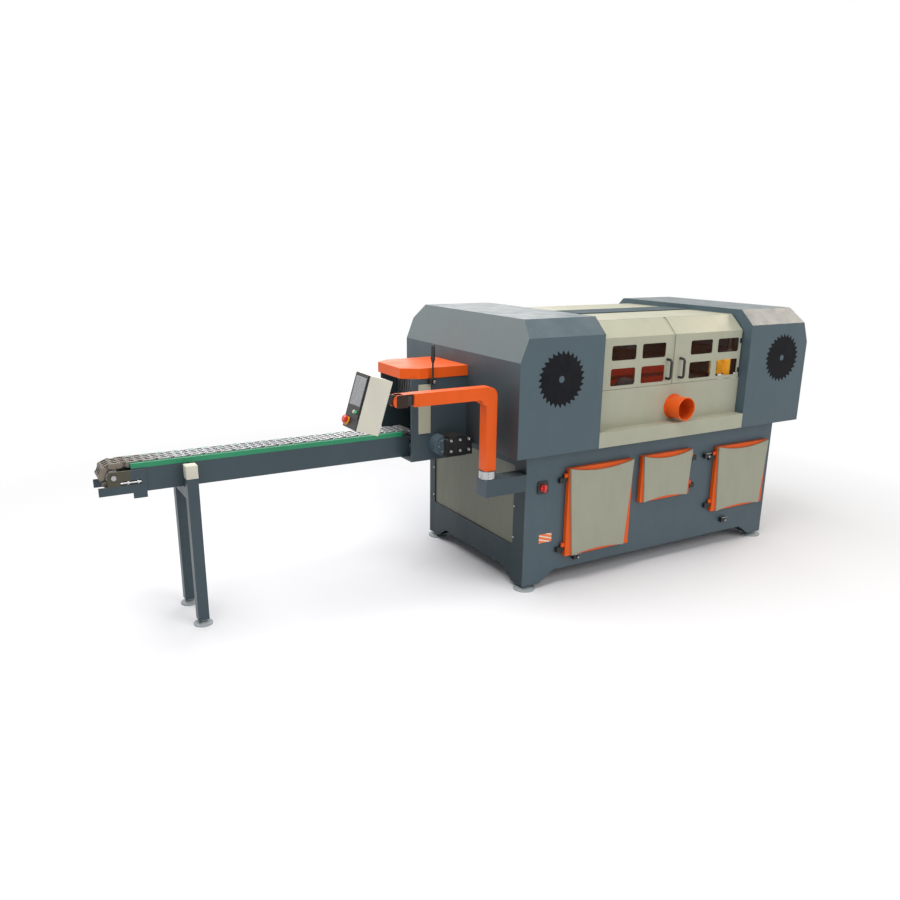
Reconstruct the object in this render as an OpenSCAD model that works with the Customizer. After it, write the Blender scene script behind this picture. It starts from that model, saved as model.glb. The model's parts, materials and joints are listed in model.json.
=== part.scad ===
// Multi rip saw: a chain conveyor feeds boards under pressure rollers and through a gang of blades.
// X runs with the feed, Y to the rear, Z up. Millimetres. The machine stands on Z = 0.

/* [Base cabinet] */
// Length of the base cabinet along the feed
base_l = 1980; // [1900:10:2300]
// Depth of the base cabinet, front to rear
base_w = 1090; // [1060:10:1250]
// Height of the bed's upper face above the floor
bed_h = 811; // [790:1:850]
// Thickness of the bed plate
bed_t = 20; // [12:1:30]
// Thickness of the cabinet's plates
plate_t = 8; // [5:1:12]
// Height of the cabinet's legs above the floor
foot_h = 30; // [24:1:45]
// Width of a leg at its foot
leg_w = 115; // [105:1:150]
// Distance from the cabinet's corner to the top of the arch
arch_run = 212; // [170:1:260]
// Rise of the arch over the foot
arch_h = 65; // [40:1:80]
// Width of the end frame's rear post
end_post_w = 68; // [50:1:90]
// Height of the end window's lower edge
end_rail_h = 250; // [220:1:280]
// Depth of the end window's upper rail
end_head_h = 70; // [50:1:100]
// Diameter of a levelling pad under the conveyor's legs
pad_d = 95; // [80:1:110]
// Diameter of a levelling pad under the cabinet
base_pad_d = 125; // [100:1:140]
// Distance of a cabinet foot from the cabinet's faces
foot_in = 40; // [32:1:60]

/* [Casing] */
// Reach of the casing past each end of the base
end_over = 126; // [100:1:150]
// Reach of the casing past the base at front and rear
side_over = 85; // [75:1:110]
// Height of the casing over the bed
casing_h = 719; // [700:1:780]
// Thickness of the casing sheet
casing_t = 5; // [3:0.5:6]
// Length of the infeed housing
infeed_housing_l = 552; // [530:1:600]
// Length of the outfeed housing
outfeed_housing_l = 528; // [520:1:600]
// Height of the bevel on the casing's ends
end_bevel_h = 210; // [160:1:240]
// Run of the bevel on the casing's ends
end_bevel_run = 83; // [60:1:110]
// Height of the bevel on the casing's front and rear
side_bevel_h = 88; // [70:1:110]
// Run of the bevel on the casing's front and rear
side_bevel_run = 97; // [80:1:120]
// Width of the strip along the middle of the roof
spine_w = 215; // [150:5:300]
// Rise of that strip over the roof
spine_t = 6; // [3:1:15]
// Step from the housings' front face back to the doors
recess = 65; // [50:1:75]
// Width of the feed tunnel
tunnel_w = 372; // [360:1:380]
// Height of the tunnel's upper edge over the bed
tunnel_h = 360; // [330:1:400]
// Distance of the feed line from the base's rear edge
feed_back = 465; // [450:1:485]

/* [Doors and apron] */
// Height of the apron's ledge over the bed
ledge_h = 89; // [70:1:110]
// Height of the doors' lower edge over the bed
apron_h = 309; // [290:1:320]
// Height of the bend in the doors over the bed
door_bend_h = 599; // [585:1:620]
// Thickness of a door's sheet
door_t = 4; // [3:0.5:6]
// Gap between the two doors
seam_gap = 20; // [18:1:30]
// Width of a window
window_w = 180; // [150:1:190]
// Height of an upper window
window_up_h = 83; // [70:1:90]
// Height of a lower window
window_low_h = 97; // [80:1:100]
// Gap between the windows of a row
window_gap = 46; // [35:1:55]
// Gap between the rows of windows
window_row_gap = 45; // [35:1:55]
// Height of the lower windows over the doors' lower edge
window_rise = 19; // [15:1:30]
// Radius of the windows' corners
window_r = 12; // [5:1:20]
// Solid border beside the seam on the left door
left_margin = 51; // [45:1:70]
// Solid border beside the seam on the right door
right_margin = 130; // [110:1:140]
// Length of a door handle
handle_l = 125; // [110:1:150]
// Reach of a door handle
handle_reach = 45; // [40:1:60]
// Diameter of a door handle's bar
handle_d = 15; // [12:1:18]
// Outer diameter of the dust spout
spout_d = 132; // [120:1:160]
// Reach of the dust spout in front of the apron
spout_l = 110; // [90:1:180]
// Wall of the dust spout
spout_wall = 3; // [2:0.5:5]
// Height of the dust spout's flange over the apron's ledge
spout_rise = 12; // [1:1:15]
// Distance of the dust spout from the doors' seam
spout_shift = 33; // [0:1:60]

/* [Access panels] */
// Width of the left panel
panel_left_w = 490; // [460:1:510]
// Height of the left panel
panel_left_h = 525; // [480:1:530]
// Width of the middle panel
panel_middle_w = 418; // [390:1:430]
// Height of the middle panel
panel_middle_h = 288; // [260:1:300]
// Width of the right panel
panel_right_w = 482; // [450:1:495]
// Height of the right panel
panel_right_h = 427; // [390:1:430]
// Depth of a panel's tray
tray_t = 25; // [20:1:30]
// Depth of a panel's cover
cover_t = 12; // [8:1:16]
// Inward lean of a cover's sides, as a share of its height
cover_lean_share = 0.075; // [0.03:0.005:0.1]
// Depth of the arc in a cover's upper edge
cover_top_sag = 28; // [10:1:32]
// Depth of the arc in a cover's lower edge
cover_low_sag = 18; // [8:1:24]

/* [Conveyor] */
// Height of the working surface over the bed
work_rise = 69; // [59:1:89]
// Length of the conveyor's beam
beam_l = 1497; // [1200:1:1800]
// Width of the conveyor's beam
beam_w = 170; // [160:1:180]
// Height of the conveyor's beam
beam_h = 119; // [112:1:125]
// Thickness of the beam's plates
beam_t = 6; // [4:1:8]
// Length of a chain link between its pins
link_l = 38; // [36:0.5:40]
// Height of a chain plate
link_h = 28; // [24:0.5:30]
// Thickness of a chain plate
link_t = 8; // [6:0.5:9]
// Distance from the beam's end to the idler's axis
idler_reach = 83; // [75:1:100]
// Distance from the idler to the legs
tail_to_leg = 347; // [300:1:430]
// Side of a leg tube
leg_tube = 55; // [45:1:65]
// Distance between the legs' centres
leg_span = 291; // [270:1:330]

/* [Infeed] */
// Length of the infeed trough
trough_l = 356; // [340:1:400]
// Width of the infeed trough
trough_w = 386; // [384:1:400]
// Height of the trough's upper edge over the working surface
trough_rise = 361; // [340:1:380]
// Length of the hood's straight side
hood_l = 307; // [290:1:330]
// Reach of the hood's flared end
flare_l = 90; // [70:1:110]
// Depth of the hood's skirt
skirt_h = 57; // [45:1:70]
// Distance from the casing to the drive shaft
drive_back = 190; // [180:1:200]
// Distance from the casing to the kickback shaft
kickback_back = 238; // [230:1:250]
// Length of the kickback lever
lever_l = 200; // [160:1:230]

/* [Swing arm] */
// Side of the arm's square tube
arm_tube = 65; // [55:1:75]
// Distance from the base's end to the arm's pivot
arm_back = 225; // [215:1:260]
// Distance from the base's front to the arm's pivot
arm_in = 50; // [45:1:70]
// Height of the arm's upper face above the floor
arm_top = 1193; // [1150:1:1230]
// Length of the arm's level run
arm_reach = 455; // [400:1:520]
// Height of the arm's bracket above the floor
bracket_top = 695; // [660:1:715]
// Width of the control box
box_w = 150; // [130:1:180]
// Depth of the control box
box_d = 120; // [100:1:140]
// Length of the control box along its face
box_l = 268; // [240:1:300]
// Backward lean of the control box, in degrees
box_lean = 17.5; // [10:0.5:25]

/* [Saw and feed works] */
// Radius of a saw blade
blade_r = 160; // [140:1:175]
// Teeth on a saw blade
blade_teeth = 24; // [16:2:36]
// Saw blades on the arbor
blade_count = 6; // [2:1:7]
// Distance between the blades
blade_step = 45; // [30:1:48]
// Radius of the saw arbor
arbor_r = 30; // [25:1:35]
// Radius of the pulley on the arbor
arbor_pulley_r = 70; // [60:1:80]
// Radius of the pulley on the motor
motor_pulley_r = 100; // [90:1:105]
// Radius of the motor's frame
motor_r = 130; // [115:1:140]
// Height of the motor's axis above the floor
motor_h = 330; // [325:1:360]
// Distance of the infeed pressure roller from the arbor
pressure_back = 787; // [770:1:800]
// Gap between the outfeed columns' feet and the housing's flange
outfeed_gap = 6; // [4:1:30]
// Radius of a pressure roller
pressure_r = 60; // [50:1:70]
// Radius of a bed roller
bed_roller_r = 30; // [24:1:34]
// Lift of the pressure rollers
pressure_lift = 80; // [60:1:90]

/* [Hidden] */
$fn = 48;
// Overrun of every cut
cut = 2;
// Radial clearance of a shaft in its bore
run_fit = 0.05;
// Gap between moving faces
gap = 0.5;

// Extents of the casing and of the whole machine
casing_x0 = -end_over;
casing_x1 = base_l + end_over;
casing_y0 = -side_over;
casing_y1 = base_w + side_over;
casing_w = casing_y1 - casing_y0;
roof_z = bed_h + casing_h;
in_x = casing_x0 + infeed_housing_l;
out_x = casing_x1 - outfeed_housing_l;
seam_x = (in_x + out_x) / 2;
door_y = casing_y0 + recess;
rear_y = casing_y1 - recess;
feed_y = base_w - feed_back;
return_w = 90;
flange_lap = 30;
base_top = bed_h - bed_t;
work_h = bed_h + work_rise;

// Doors
ledge_z = bed_h + ledge_h;
apron_z = bed_h + apron_h;
bend_z = bed_h + door_bend_h;
door_z0 = apron_z + 4 * gap;
mid_roof_z = bend_z + side_bevel_h;
apron_t = door_t + 2 * gap;
post_w = 60;
post_lap = 20;
hinge_in = 14;
hinge_back = 8;
edge_in = 6;
knuckle_r = 7;
knuckle_l = 30;
door_pin_r = 4;
hinge_low_rise = 30;
hinge_high_drop = 80;
pane_t = 3;
pane_lap = 14;
window_border = 16;
left_handle_in = 35;
right_handle_in = 48;
handle_rise = 28;
leaf_x0 = in_x + hinge_in - edge_in;
leaf_x1 = seam_x - seam_gap / 2;
hinge_x = in_x + hinge_in;
hinge_y = door_y + hinge_back;
door_path = [[door_y, door_z0], [door_y, bend_z], [door_y + side_bevel_run, mid_roof_z]];

// Dust spout
spout_rim_r = 3;
spout_flange_w = 8;
spout_flange_r = spout_d / 2 + spout_flange_w;
spout_x = seam_x + spout_shift;
spout_z = ledge_z + spout_flange_r + spout_rise;
spout_flange_t = 5;

// Access panels: left edge, width, lower edge and height, and the side that carries the hinges
panel_left_x = 258;
panel_left_z = 175;
panel_middle_x = 822;
panel_middle_z = 416;
panel_right_x = 1436;
panel_right_z = 260;
panel_lap = 60;
panel_gap = 3;
panel_hinge_in = 14;
panel_pin_r = 4.5;
panel_knuckle_r = 9;
panel_knuckle_l = 22;
panel_block_l = 40;
panel_block_h = 28;
panel_hinge_inset = 30;
cover_border = 4;
panel_hinge_y = -panel_gap - tray_t / 2;
tray_y = -panel_gap - tray_t;

// Feed line
chain_z = work_h - link_h / 2;
sprocket_teeth = 8;
sprocket_r = link_l / (2 * sin(180 / sprocket_teeth));
sprocket_tip = 7;
shaft_z = chain_z - sprocket_r;
drive_x = casing_x0 - drive_back;
trough_x0 = casing_x0 - trough_l;
trough_t = 8;
trough_top = work_h + trough_rise;
beam_lap = 42;
beam_x1 = trough_x0 + beam_lap;
beam_x0 = beam_x1 - beam_l;
chain_run_gap = 2;
beam_top = work_h - link_h - chain_run_gap;
beam_z0 = beam_top - beam_h;
trough_z0 = beam_z0 - trough_t;
idler_x = beam_x0 - idler_reach;
rail_w = 18;
rail_drop = 6;
rail_ledge = 14;
ledge_gap = 0.3;
chain_rows = 8;
chain_side_gap = 4;
chain_w = beam_w - 2 * rail_w - 2 * chain_side_gap;
chain_pin_r = 5;
chain_end_gap = 2;
idler_r = sprocket_r * cos(180 / sprocket_teeth) - link_h / 2 - gap;
feed_shaft_r = 15;
idler_shaft_r = 12;
top_links = floor((drive_x - sprocket_r - sprocket_tip - link_h / 2 - chain_end_gap - idler_x) / link_l);
tail_over = 8;
tail_x0 = idler_x - sprocket_r - link_h / 2 - tail_over;
tail_bar_h = 42;
tail_plate_t = 8;
tail_foot_l = 64;
screw_r = 3.5;
tail_slot_h = 22;
leg_x = idler_x + tail_to_leg;

// Whole machine, for its origin under the middle of its box
machine_x0 = tail_x0;
machine_x1 = casing_x1;
machine_y0 = door_y - spout_l;
machine_y1 = casing_y1;

// Swing arm and control box
pivot_x = -arm_back;
pivot_y = arm_in;
pivot_r = 20;
bracket_h = 95;
bracket_w = 100;
bracket_end = 35;
bracket_wall = 8;
collar_r = 40;
collar_h = 45;
arm_bend_r = 50;
fork_t = 8;
fork_gap = 40;
cheek_l = 48;
tilt_r = 8;
fork_reach = 80;
tilt_x = pivot_x - arm_reach - fork_reach;
tilt_z = arm_top - arm_tube / 2;
lug_r = 24;
lug_l = 88;
box_drop = 47;
box_wall = 3;
face_t = 8;
face_l = 216;
screen_in = 14;
estop_r = 20;
estop_h = 26;
estop_neck_r = 11;
estop_inset = 30;
estop_travel = 6;

// Main switch and interlock switches
switch_x = 110;
switch_z = 607;
switch_w = 72;
switch_t = 8;
knob_r = 21;
knob_t = 22;
knob_grip = 12;
switch_shaft_r = 6;
interlock_l = 42;
interlock_h = 30;
interlock_t = 26;

// Saw works
arbor_x = seam_x;
blade_cut = 8;
arbor_z = work_h + blade_r - blade_cut;
blade_t = 4;
spacer_r = 55;
bearing_span = 540;
bearing_w = 70;
bearing_r = 68;
arbor_overhang = 25;
pulley_w = 60;
pulley_y = feed_y + bearing_span / 2 + bearing_w / 2 + arbor_overhang;
belt_t = 10;
belt_w = 50;
belt_steps = 24;
groove_depth = 9;
hood_wall = 4;
hood_half_l = 390;
hood_half_w = 190;
hood_rise = 20;
hood_lip_h = 130;
table_w = 360;
table_t = 16;
web_t = 12;
table_drop = 4;
chip_half = 120;
roller_gap = 45;
block_w = 40;
block_half = 35;
roller_l = 300;
pressure_roller_l = 280;
column_r = 20;
column_span = 550;
column_foot_r = 44;
column_foot_t = 16;
yoke_half = 100;
yoke_t = 160;
yoke_wall = 12;
yoke_rise = 190;
yoke_z = work_h + yoke_rise;
sleeve_r = 40;
sleeve_h = 180;
column_h = yoke_z + (yoke_t + sleeve_h) / 2 + pressure_lift + column_r - bed_h;
hanger_t = 14;
hanger_half = 45;
board_h = 60;
pressure_z = work_h + board_h + pressure_r;
pressure_in_x = arbor_x - pressure_back;
pressure_out_x = base_l - flange_lap - column_foot_r - outfeed_gap;
motor_l = 400;
motor_gap = 60;
motor_front_y = pulley_y - motor_l - motor_gap;
motor_shaft_r = 24;
shelf_t = 12;
shelf_half = 260;
shelf_z = motor_h - motor_r - shelf_t;

// Kickback guard and feed gearbox
hood_t = 4;
kickback_x = casing_x0 - kickback_back;
skirt_z = trough_top + hood_t - skirt_h;
kickback_drop = 14;
kickback_z = skirt_z - kickback_drop;
kickback_r = 11;
finger_count = 16;
finger_t = 8;
finger_w = 34;
finger_l = 170;
lever_r = 9;
rod_share = 0.6;
grip_shares = [[0.7, 0], [1.4, 0.25], [1.2, 0.9], [0.8, 1]];
hood_gap = 2;
gearbox_d = 95;
gearbox_l = 172;
gearbox_hub_r = 56;
gearbox_h = 122;
gearbox_bolt_r = 6;
bolt_columns = 3;
strip_l = 75;
strip_t = 6;
strip_in = 43;

// Smaller sizes of feet, hinges, rollers and grips
panel_seat = 20;
end_panel_t = 4;
pad_t = 8;
stem_r = 10;
nut_h = 8;
stem_reach = 6;
door_hinge_heights = [door_z0 + hinge_low_rise, bend_z - hinge_high_drop];
flare_in = 55;
motor_fin = 24;
motor_fins = 18;
roller_proud = 2;
bed_roller_z = work_h - bed_roller_r + roller_proud;
lug_w = fork_gap - 4 * gap;
face_low = 6;
lever_hub_l = 14;
tooth_depth = 14;
pulley_grooves = 4;
groove_shares = [[0.25, 0], [0.4, 1], [0.6, 1], [0.75, 0]];
roller_ribs = 14;
roller_groove = 3;

slate = [0.31, 0.38, 0.42];
beige = [0.62, 0.63, 0.57];
orange = [0.94, 0.37, 0.14];
steel = [0.68, 0.69, 0.70];
black = [0.08, 0.08, 0.09];

// Moves the machine so that its origin lies on the floor under the middle of its box
module place() {
    translate([-(machine_x0 + machine_x1) / 2, -(machine_y0 + machine_y1) / 2, 0]) children();
}

module box(lo, hi) {
    translate(lo) cube(hi - lo);
}

// Extrudes an outline of X and Z along Y
module along_y(y0, l) {
    translate([0, y0 + l, 0]) rotate([90, 0, 0]) linear_extrude(l) children();
}

// Extrudes an outline of Y and Z along X
module along_x(x0, l) {
    translate([x0, 0, 0]) rotate([90, 0, 90]) linear_extrude(l) children();
}

module rod_y(x, z, r, y0, l) {
    translate([x, y0 + l, z]) rotate([90, 0, 0]) cylinder(r = r, h = l);
}

module rod_x(y, z, r, x0, l) {
    translate([x0, y, z]) rotate([0, 90, 0]) cylinder(r = r, h = l);
}

module rod_z(x, y, r, z0, l) {
    translate([x, y, z0]) cylinder(r = r, h = l);
}

// Mirrors across the seam of the doors
module across_seam() {
    translate([2 * seam_x, 0, 0]) mirror([1, 0, 0]) children();
}

// Mirrors across the feed line
module across_feed() {
    translate([0, 2 * feed_y, 0]) mirror([0, 1, 0]) children();
}

module both_sides() {
    children();
    across_feed() children();
}

module rounded(w, h, r) {
    translate([r, 0]) square([w - 2 * r, h]);
    translate([0, r]) square([w, h - 2 * r]);
    for (x = [r, w - r], y = [r, h - r]) translate([x, y]) circle(r);
}

// Outline of a sheet of thickness t that follows a path, to the left of its direction
function unit(v) = v / norm(v);
function left_of(v) = [-v[1], v[0]];
function miter(p, i, t) =
    let (n = len(p), a = i > 0 ? unit(p[i] - p[i - 1]) : unit(p[1] - p[0]),
         b = i < n - 1 ? unit(p[i + 1] - p[i]) : a)
    p[i] + (left_of(a) + left_of(b)) * t / (1 + a * b);
function bent(p, t) = concat(p, [for (i = [len(p) - 1:-1:0]) miter(p, i, t)]);

// Side wall of the cabinet with its legs and arch, as wide as l
function arch_outline(l) = [[0, foot_h], [leg_w, foot_h], [arch_run, foot_h + arch_h],
    [l - arch_run, foot_h + arch_h], [l - leg_w, foot_h], [l, foot_h], [l, base_top], [0, base_top]];

module panel_opening(x, w, z, h) {
    box([x + panel_lap, -cut, z + panel_lap], [x + w - panel_lap, plate_t + cut, z + h - panel_lap]);
}

module base_front_plate() color(slate) place() difference() {
    along_y(0, plate_t) polygon(arch_outline(base_l));
    panel_opening(panel_left_x, panel_left_w, panel_left_z, panel_left_h);
    panel_opening(panel_middle_x, panel_middle_w, panel_middle_z, panel_middle_h);
    panel_opening(panel_right_x, panel_right_w, panel_right_z, panel_right_h);
    rod_y(switch_x, switch_z, switch_shaft_r + gap, -cut, plate_t + 2 * cut);
}

module base_rear_plate() color(slate) place()
    along_y(base_w - plate_t, plate_t) polygon(arch_outline(base_l));

// End frame with a window for its panel, and a foot plate in each corner
module end_frame() {
    difference() {
        intersection() {
            along_x(0, plate_t) polygon(arch_outline(base_w));
            box([0, plate_t, 0], [plate_t, base_w - plate_t, base_top]);
        }
        box([-cut, leg_w, end_rail_h], [plate_t + cut, base_w - end_post_w, base_top - end_head_h]);
    }
    difference() {
        for (y = [plate_t, base_w - leg_w])
            box([plate_t, y, foot_h], [leg_w, y + leg_w - plate_t, foot_h + plate_t]);
        for (y = [foot_in, base_w - foot_in])
            rod_z(foot_in, y, stem_r + gap, foot_h - cut, plate_t + 2 * cut);
    }
}

module base_end_frames() color(slate) place() {
    end_frame();
    translate([base_l, 0, 0]) mirror([1, 0, 0]) end_frame();
}

module end_panel() {
    box([plate_t, leg_w - panel_seat, end_rail_h - panel_seat],
        [plate_t + end_panel_t, base_w - end_post_w + panel_seat, base_top - end_head_h + panel_seat]);
}

module base_end_panels() color(beige) place() {
    end_panel();
    translate([base_l, 0, 0]) mirror([1, 0, 0]) end_panel();
}

module motor_shelf() color(slate) place()
    box([arbor_x - shelf_half, plate_t, shelf_z - shelf_t],
        [arbor_x + shelf_half, base_w - plate_t, shelf_z]);

// Pad, dished upper side, stem and nut, up to the underside of the leg
module levelling_foot(d, reach) {
    rotate_extrude() polygon([[0, 0], [d / 2, 0], [d / 2, pad_t], [stem_r + pad_t, 2 * pad_t],
        [stem_r, 2 * pad_t], [stem_r, foot_h + reach], [0, foot_h + reach]]);
    translate([0, 0, foot_h - nut_h]) cylinder(r = 2 * stem_r, h = nut_h, $fn = 6);
}

module levelling_feet() color(steel) place() {
    for (x = [foot_in, base_l - foot_in], y = [foot_in, base_w - foot_in])
        translate([x, y, 0]) levelling_foot(base_pad_d, stem_reach);
    for (s = [-1, 1]) translate([leg_x, feed_y + s * leg_span / 2, 0]) levelling_foot(pad_d, stem_reach);
}

module bed_plate() color(slate) place() difference() {
    box([0, 0, base_top], [base_l, base_w, bed_h]);
    box([arbor_x - chip_half + roller_gap, feed_y - table_w / 2 + roller_gap, base_top - cut],
        [arbor_x + chip_half - roller_gap, feed_y + table_w / 2 - roller_gap, bed_h + cut]);
    box([arbor_x - motor_pulley_r - 2 * belt_t, pulley_y - belt_t, base_top - cut],
        [arbor_x + motor_pulley_r + 2 * belt_t, pulley_y + pulley_w + belt_t, bed_h + cut]);
}

// Inset of a bevelled corner: the wall at a, the bevel from (a, c) over (run, rise), the roof at top
function bevel_inset(a, s, top, run, rise, t) =
    let (l = norm([run, rise]), nx = rise / l, nz = run / l, c = top - rise)
    [[a + s * t, c - t * nz + (t - t * nx) * rise / run],
     [a + s * (t * nx + (rise - t + t * nz) * run / rise), top - t]];

function end_profile(l, t) = concat(
    [[casing_x0 + t, bed_h + t]],
    bevel_inset(casing_x0, 1, roof_z, end_bevel_run, end_bevel_h, t),
    [[casing_x0 + l - t, roof_z - t], [casing_x0 + l - t, bed_h + t]]);

function side_profile(t) =
    let (f = bevel_inset(casing_y0, 1, roof_z, side_bevel_run, side_bevel_h, t),
         r = bevel_inset(casing_y1, -1, roof_z, side_bevel_run, side_bevel_h, t))
    [[casing_y0 + t, bed_h + t], f[0], f[1], r[1], r[0], [casing_y1 - t, bed_h + t]];

module casing_block(l, t) intersection() {
    along_y(casing_y0 + t, casing_w - 2 * t) polygon(end_profile(l, t));
    along_x(casing_x0 + t, l - 2 * t) polygon(side_profile(t));
}

// Folded housing over one end of the bed, open to the saw chamber and at its feed tunnel
module housing(l) difference() {
    casing_block(l, 0);
    casing_block(l, casing_t);
    box([casing_x0 + l - casing_t - cut, casing_y0 + return_w, bed_h - cut],
        [casing_x0 + l + cut, casing_y1 - return_w, roof_z - return_w]);
    box([flange_lap, flange_lap, bed_h - cut],
        [casing_x0 + l - casing_t, base_w - flange_lap, bed_h + casing_t + cut]);
    box([casing_x0 - cut, feed_y - tunnel_w / 2, bed_h - cut],
        [flange_lap + cut, feed_y + tunnel_w / 2, bed_h + tunnel_h]);
}

module infeed_housing() color(slate) place() housing(infeed_housing_l);

module outfeed_housing() color(slate) place()
    translate([base_l, 0, 0]) mirror([1, 0, 0]) housing(outfeed_housing_l);

// One bent sheet from the bed's rear edge up the back and over the saw chamber, with a strip along its top
module roof_cover() color(beige) place() {
    spine_y = (door_y + rear_y - spine_w) / 2;
    along_x(in_x, out_x - in_x) polygon(bent([[base_w - flange_lap, bed_h], [rear_y, bed_h], [rear_y, bend_z],
        [rear_y - side_bevel_run, mid_roof_z],
        [door_y + side_bevel_run + door_t + 2 * gap, mid_roof_z]], casing_t));
    box([in_x, spine_y, mid_roof_z - casing_t / 2], [out_x, spine_y + spine_w, mid_roof_z + spine_t]);
}

// Ledge and lower front sheet in one bend, with the post behind the doors' seam
module front_apron() color(beige) place() {
    difference() {
        along_x(in_x, out_x - in_x) polygon(bent([[flange_lap, bed_h], [casing_y0, bed_h],
            [casing_y0, ledge_z], [door_y, ledge_z], [door_y, apron_z]], -apron_t));
        rod_y(spout_x, spout_z, spout_d / 2 + gap, door_y - cut, apron_t + 2 * cut);
    }
    post_path = [for (i = [0:2]) miter(concat([[door_y, apron_z - post_lap]],
        [for (k = [1, 2]) door_path[k]]), i, -apron_t)];
    difference() {
        along_x(seam_x - post_w / 2, post_w) polygon(bent(post_path, -apron_t));
        box([in_x, door_y, mid_roof_z - casing_t], [out_x, rear_y, roof_z]);
    }
}

// Open pipe with a rolled rim and a flange on the apron
module dust_spout() color(orange) place() translate([spout_x, door_y, spout_z]) rotate([90, 0, 0]) {
    r = spout_d / 2;
    rotate_extrude() {
        polygon([[r - spout_wall, -apron_t], [r, -apron_t], [r, 0], [spout_flange_r, 0],
            [spout_flange_r, spout_flange_t], [r, spout_flange_t], [r, spout_l - spout_rim_r],
            [r - spout_wall, spout_l - spout_rim_r]]);
        translate([r - spout_wall + spout_rim_r, spout_l - spout_rim_r]) circle(spout_rim_r);
    }
}

// Fixed half of a door hinge on the housing's side, with its pin
module door_hinge(z) {
    rod_z(hinge_x, hinge_y, knuckle_r, z, knuckle_l);
    box([in_x, hinge_y - door_pin_r, z], [hinge_x, hinge_y + door_pin_r, z + knuckle_l]);
    rod_z(hinge_x, hinge_y, door_pin_r, z, 2 * knuckle_l - door_pin_r);
}

// Fixed half of a panel hinge on the cabinet's front, with its pin; side is 1 or -1
module panel_hinge(x, z, side) {
    rod_z(x, panel_hinge_y, panel_knuckle_r, z, panel_block_h);
    box([min(x, x - side * panel_block_l), panel_hinge_y - panel_pin_r, z],
        [max(x, x - side * panel_block_l), 0, z + panel_block_h]);
    rod_z(x, panel_hinge_y, panel_pin_r, z, panel_block_h + panel_knuckle_l - gap);
}

function hinge_heights(z, h) = [z + panel_hinge_inset,
    z + h - panel_hinge_inset - panel_block_h - panel_knuckle_l];

module hinge_blocks() color(black) place() {
    for (z = door_hinge_heights) {
        door_hinge(z);
        across_seam() door_hinge(z);
    }
    for (z = hinge_heights(panel_left_z, panel_left_h)) panel_hinge(panel_left_x, z, 1);
    for (z = hinge_heights(panel_middle_z, panel_middle_h))
        panel_hinge(panel_middle_x + panel_middle_w, z, -1);
    for (z = hinge_heights(panel_right_z, panel_right_h)) panel_hinge(panel_right_x, z, 1);
}

// Seat of the main switch and the panels' interlock switches
module switch_bodies() color(black) place() {
    difference() {
        along_y(-switch_t, switch_t)
            translate([switch_x - switch_w / 2, switch_z - switch_w / 2])
                rounded(switch_w, switch_w, knob_grip);
        rod_y(switch_x, switch_z, switch_shaft_r + run_fit, -switch_t - cut, switch_t + 2 * cut);
    }
    for (p = [[panel_left_x + 2 * interlock_l, panel_left_z],
        [panel_right_x + 3 * interlock_l, panel_right_z - panel_lap],
        [panel_right_x - 2 * interlock_l, panel_right_z + panel_right_h - panel_lap / 2]])
        box([p[0], -interlock_t, p[1] - panel_gap - interlock_h],
            [p[0] + interlock_l, 0, p[1] - panel_gap]);
}

// Folded trough that carries the conveyor's end, the drive shaft and the kickback shaft
module infeed_trough() color(slate) place() difference() {
    y0 = feed_y - trough_w / 2;
    y1 = feed_y + trough_w / 2;
    along_x(trough_x0, trough_l)
        polygon(bent([[y0, trough_top], [y0, trough_z0], [y1, trough_z0], [y1, trough_top]], trough_t));
    rod_y(drive_x, shaft_z, feed_shaft_r + run_fit, y0 - cut, trough_w + 2 * cut);
    rod_y(kickback_x, kickback_z, kickback_r + run_fit, y0 - cut, trough_w + 2 * cut);
    box([trough_x0 - cut, y0 - cut, skirt_z - 2 * gap], [casing_x0 - hood_l, y1 + cut, trough_top + cut]);
}

// Cover strip on the trough's front, with a clamp block below it
module trough_strip() color(beige) place() {
    y1 = feed_y - trough_w / 2;
    box([trough_x0 + strip_in, y1 - strip_t, work_h],
        [trough_x0 + strip_in + strip_l, y1, kickback_z - 2 * lever_r]);
}

function hood_plan(t) =
    let (x1 = casing_x0, xs = casing_x0 - hood_l, xf = casing_x0 - hood_l - flare_l + t,
         h = trough_w / 2 + hood_gap + hood_t - t, f = trough_w / 2 - flare_in - t)
    [[x1, feed_y - h], [xs, feed_y - h], [xf, feed_y - f], [xf, feed_y + f], [xs, feed_y + h],
        [x1, feed_y + h]];

// Flared hood: a top sheet with a skirt, seated on the trough's upper edges
module infeed_hood() color(orange) place() difference() {
    translate([0, 0, skirt_z]) linear_extrude(skirt_h) polygon(hood_plan(0));
    translate([0, 0, skirt_z - cut]) linear_extrude(skirt_h - hood_t + cut)
        polygon(concat([[casing_x0 + cut, hood_plan(hood_t)[0][1]]], [for (i = [1:4])
            hood_plan(hood_t)[i]],
            [[casing_x0 + cut, hood_plan(hood_t)[5][1]]]));
}

// Worm gearbox on the trough's front: a hub round the drive shaft and a housing with an arched top
module feed_gearbox() color(black) place() difference() {
    y0 = feed_y - trough_w / 2 - gearbox_d;
    union() {
        rod_y(drive_x, shaft_z, gearbox_hub_r, y0 + gearbox_d / 4, 3 * gearbox_d / 4);
        along_y(y0, gearbox_d) {
            translate([drive_x, shaft_z - gearbox_h / 2]) square([gearbox_l, gearbox_h * 3 / 4]);
            translate([drive_x + gearbox_l / 2, shaft_z - gearbox_h / 4]) intersection() {
                circle(gearbox_l / 2);
                translate([-gearbox_l / 2, 0]) square([gearbox_l, gearbox_h]);
            }
        }
        for (i = [0:bolt_columns - 1], j = [0, 1])
            rod_y(drive_x + gearbox_l * (i + 0.5) / bolt_columns, shaft_z + (j - 0.5) * gearbox_h / 2,
                gearbox_bolt_r, y0 - gearbox_bolt_r, gearbox_bolt_r);
    }
    rod_y(drive_x, shaft_z, feed_shaft_r + run_fit, y0 + gearbox_d / 2, gearbox_d);
}

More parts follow.
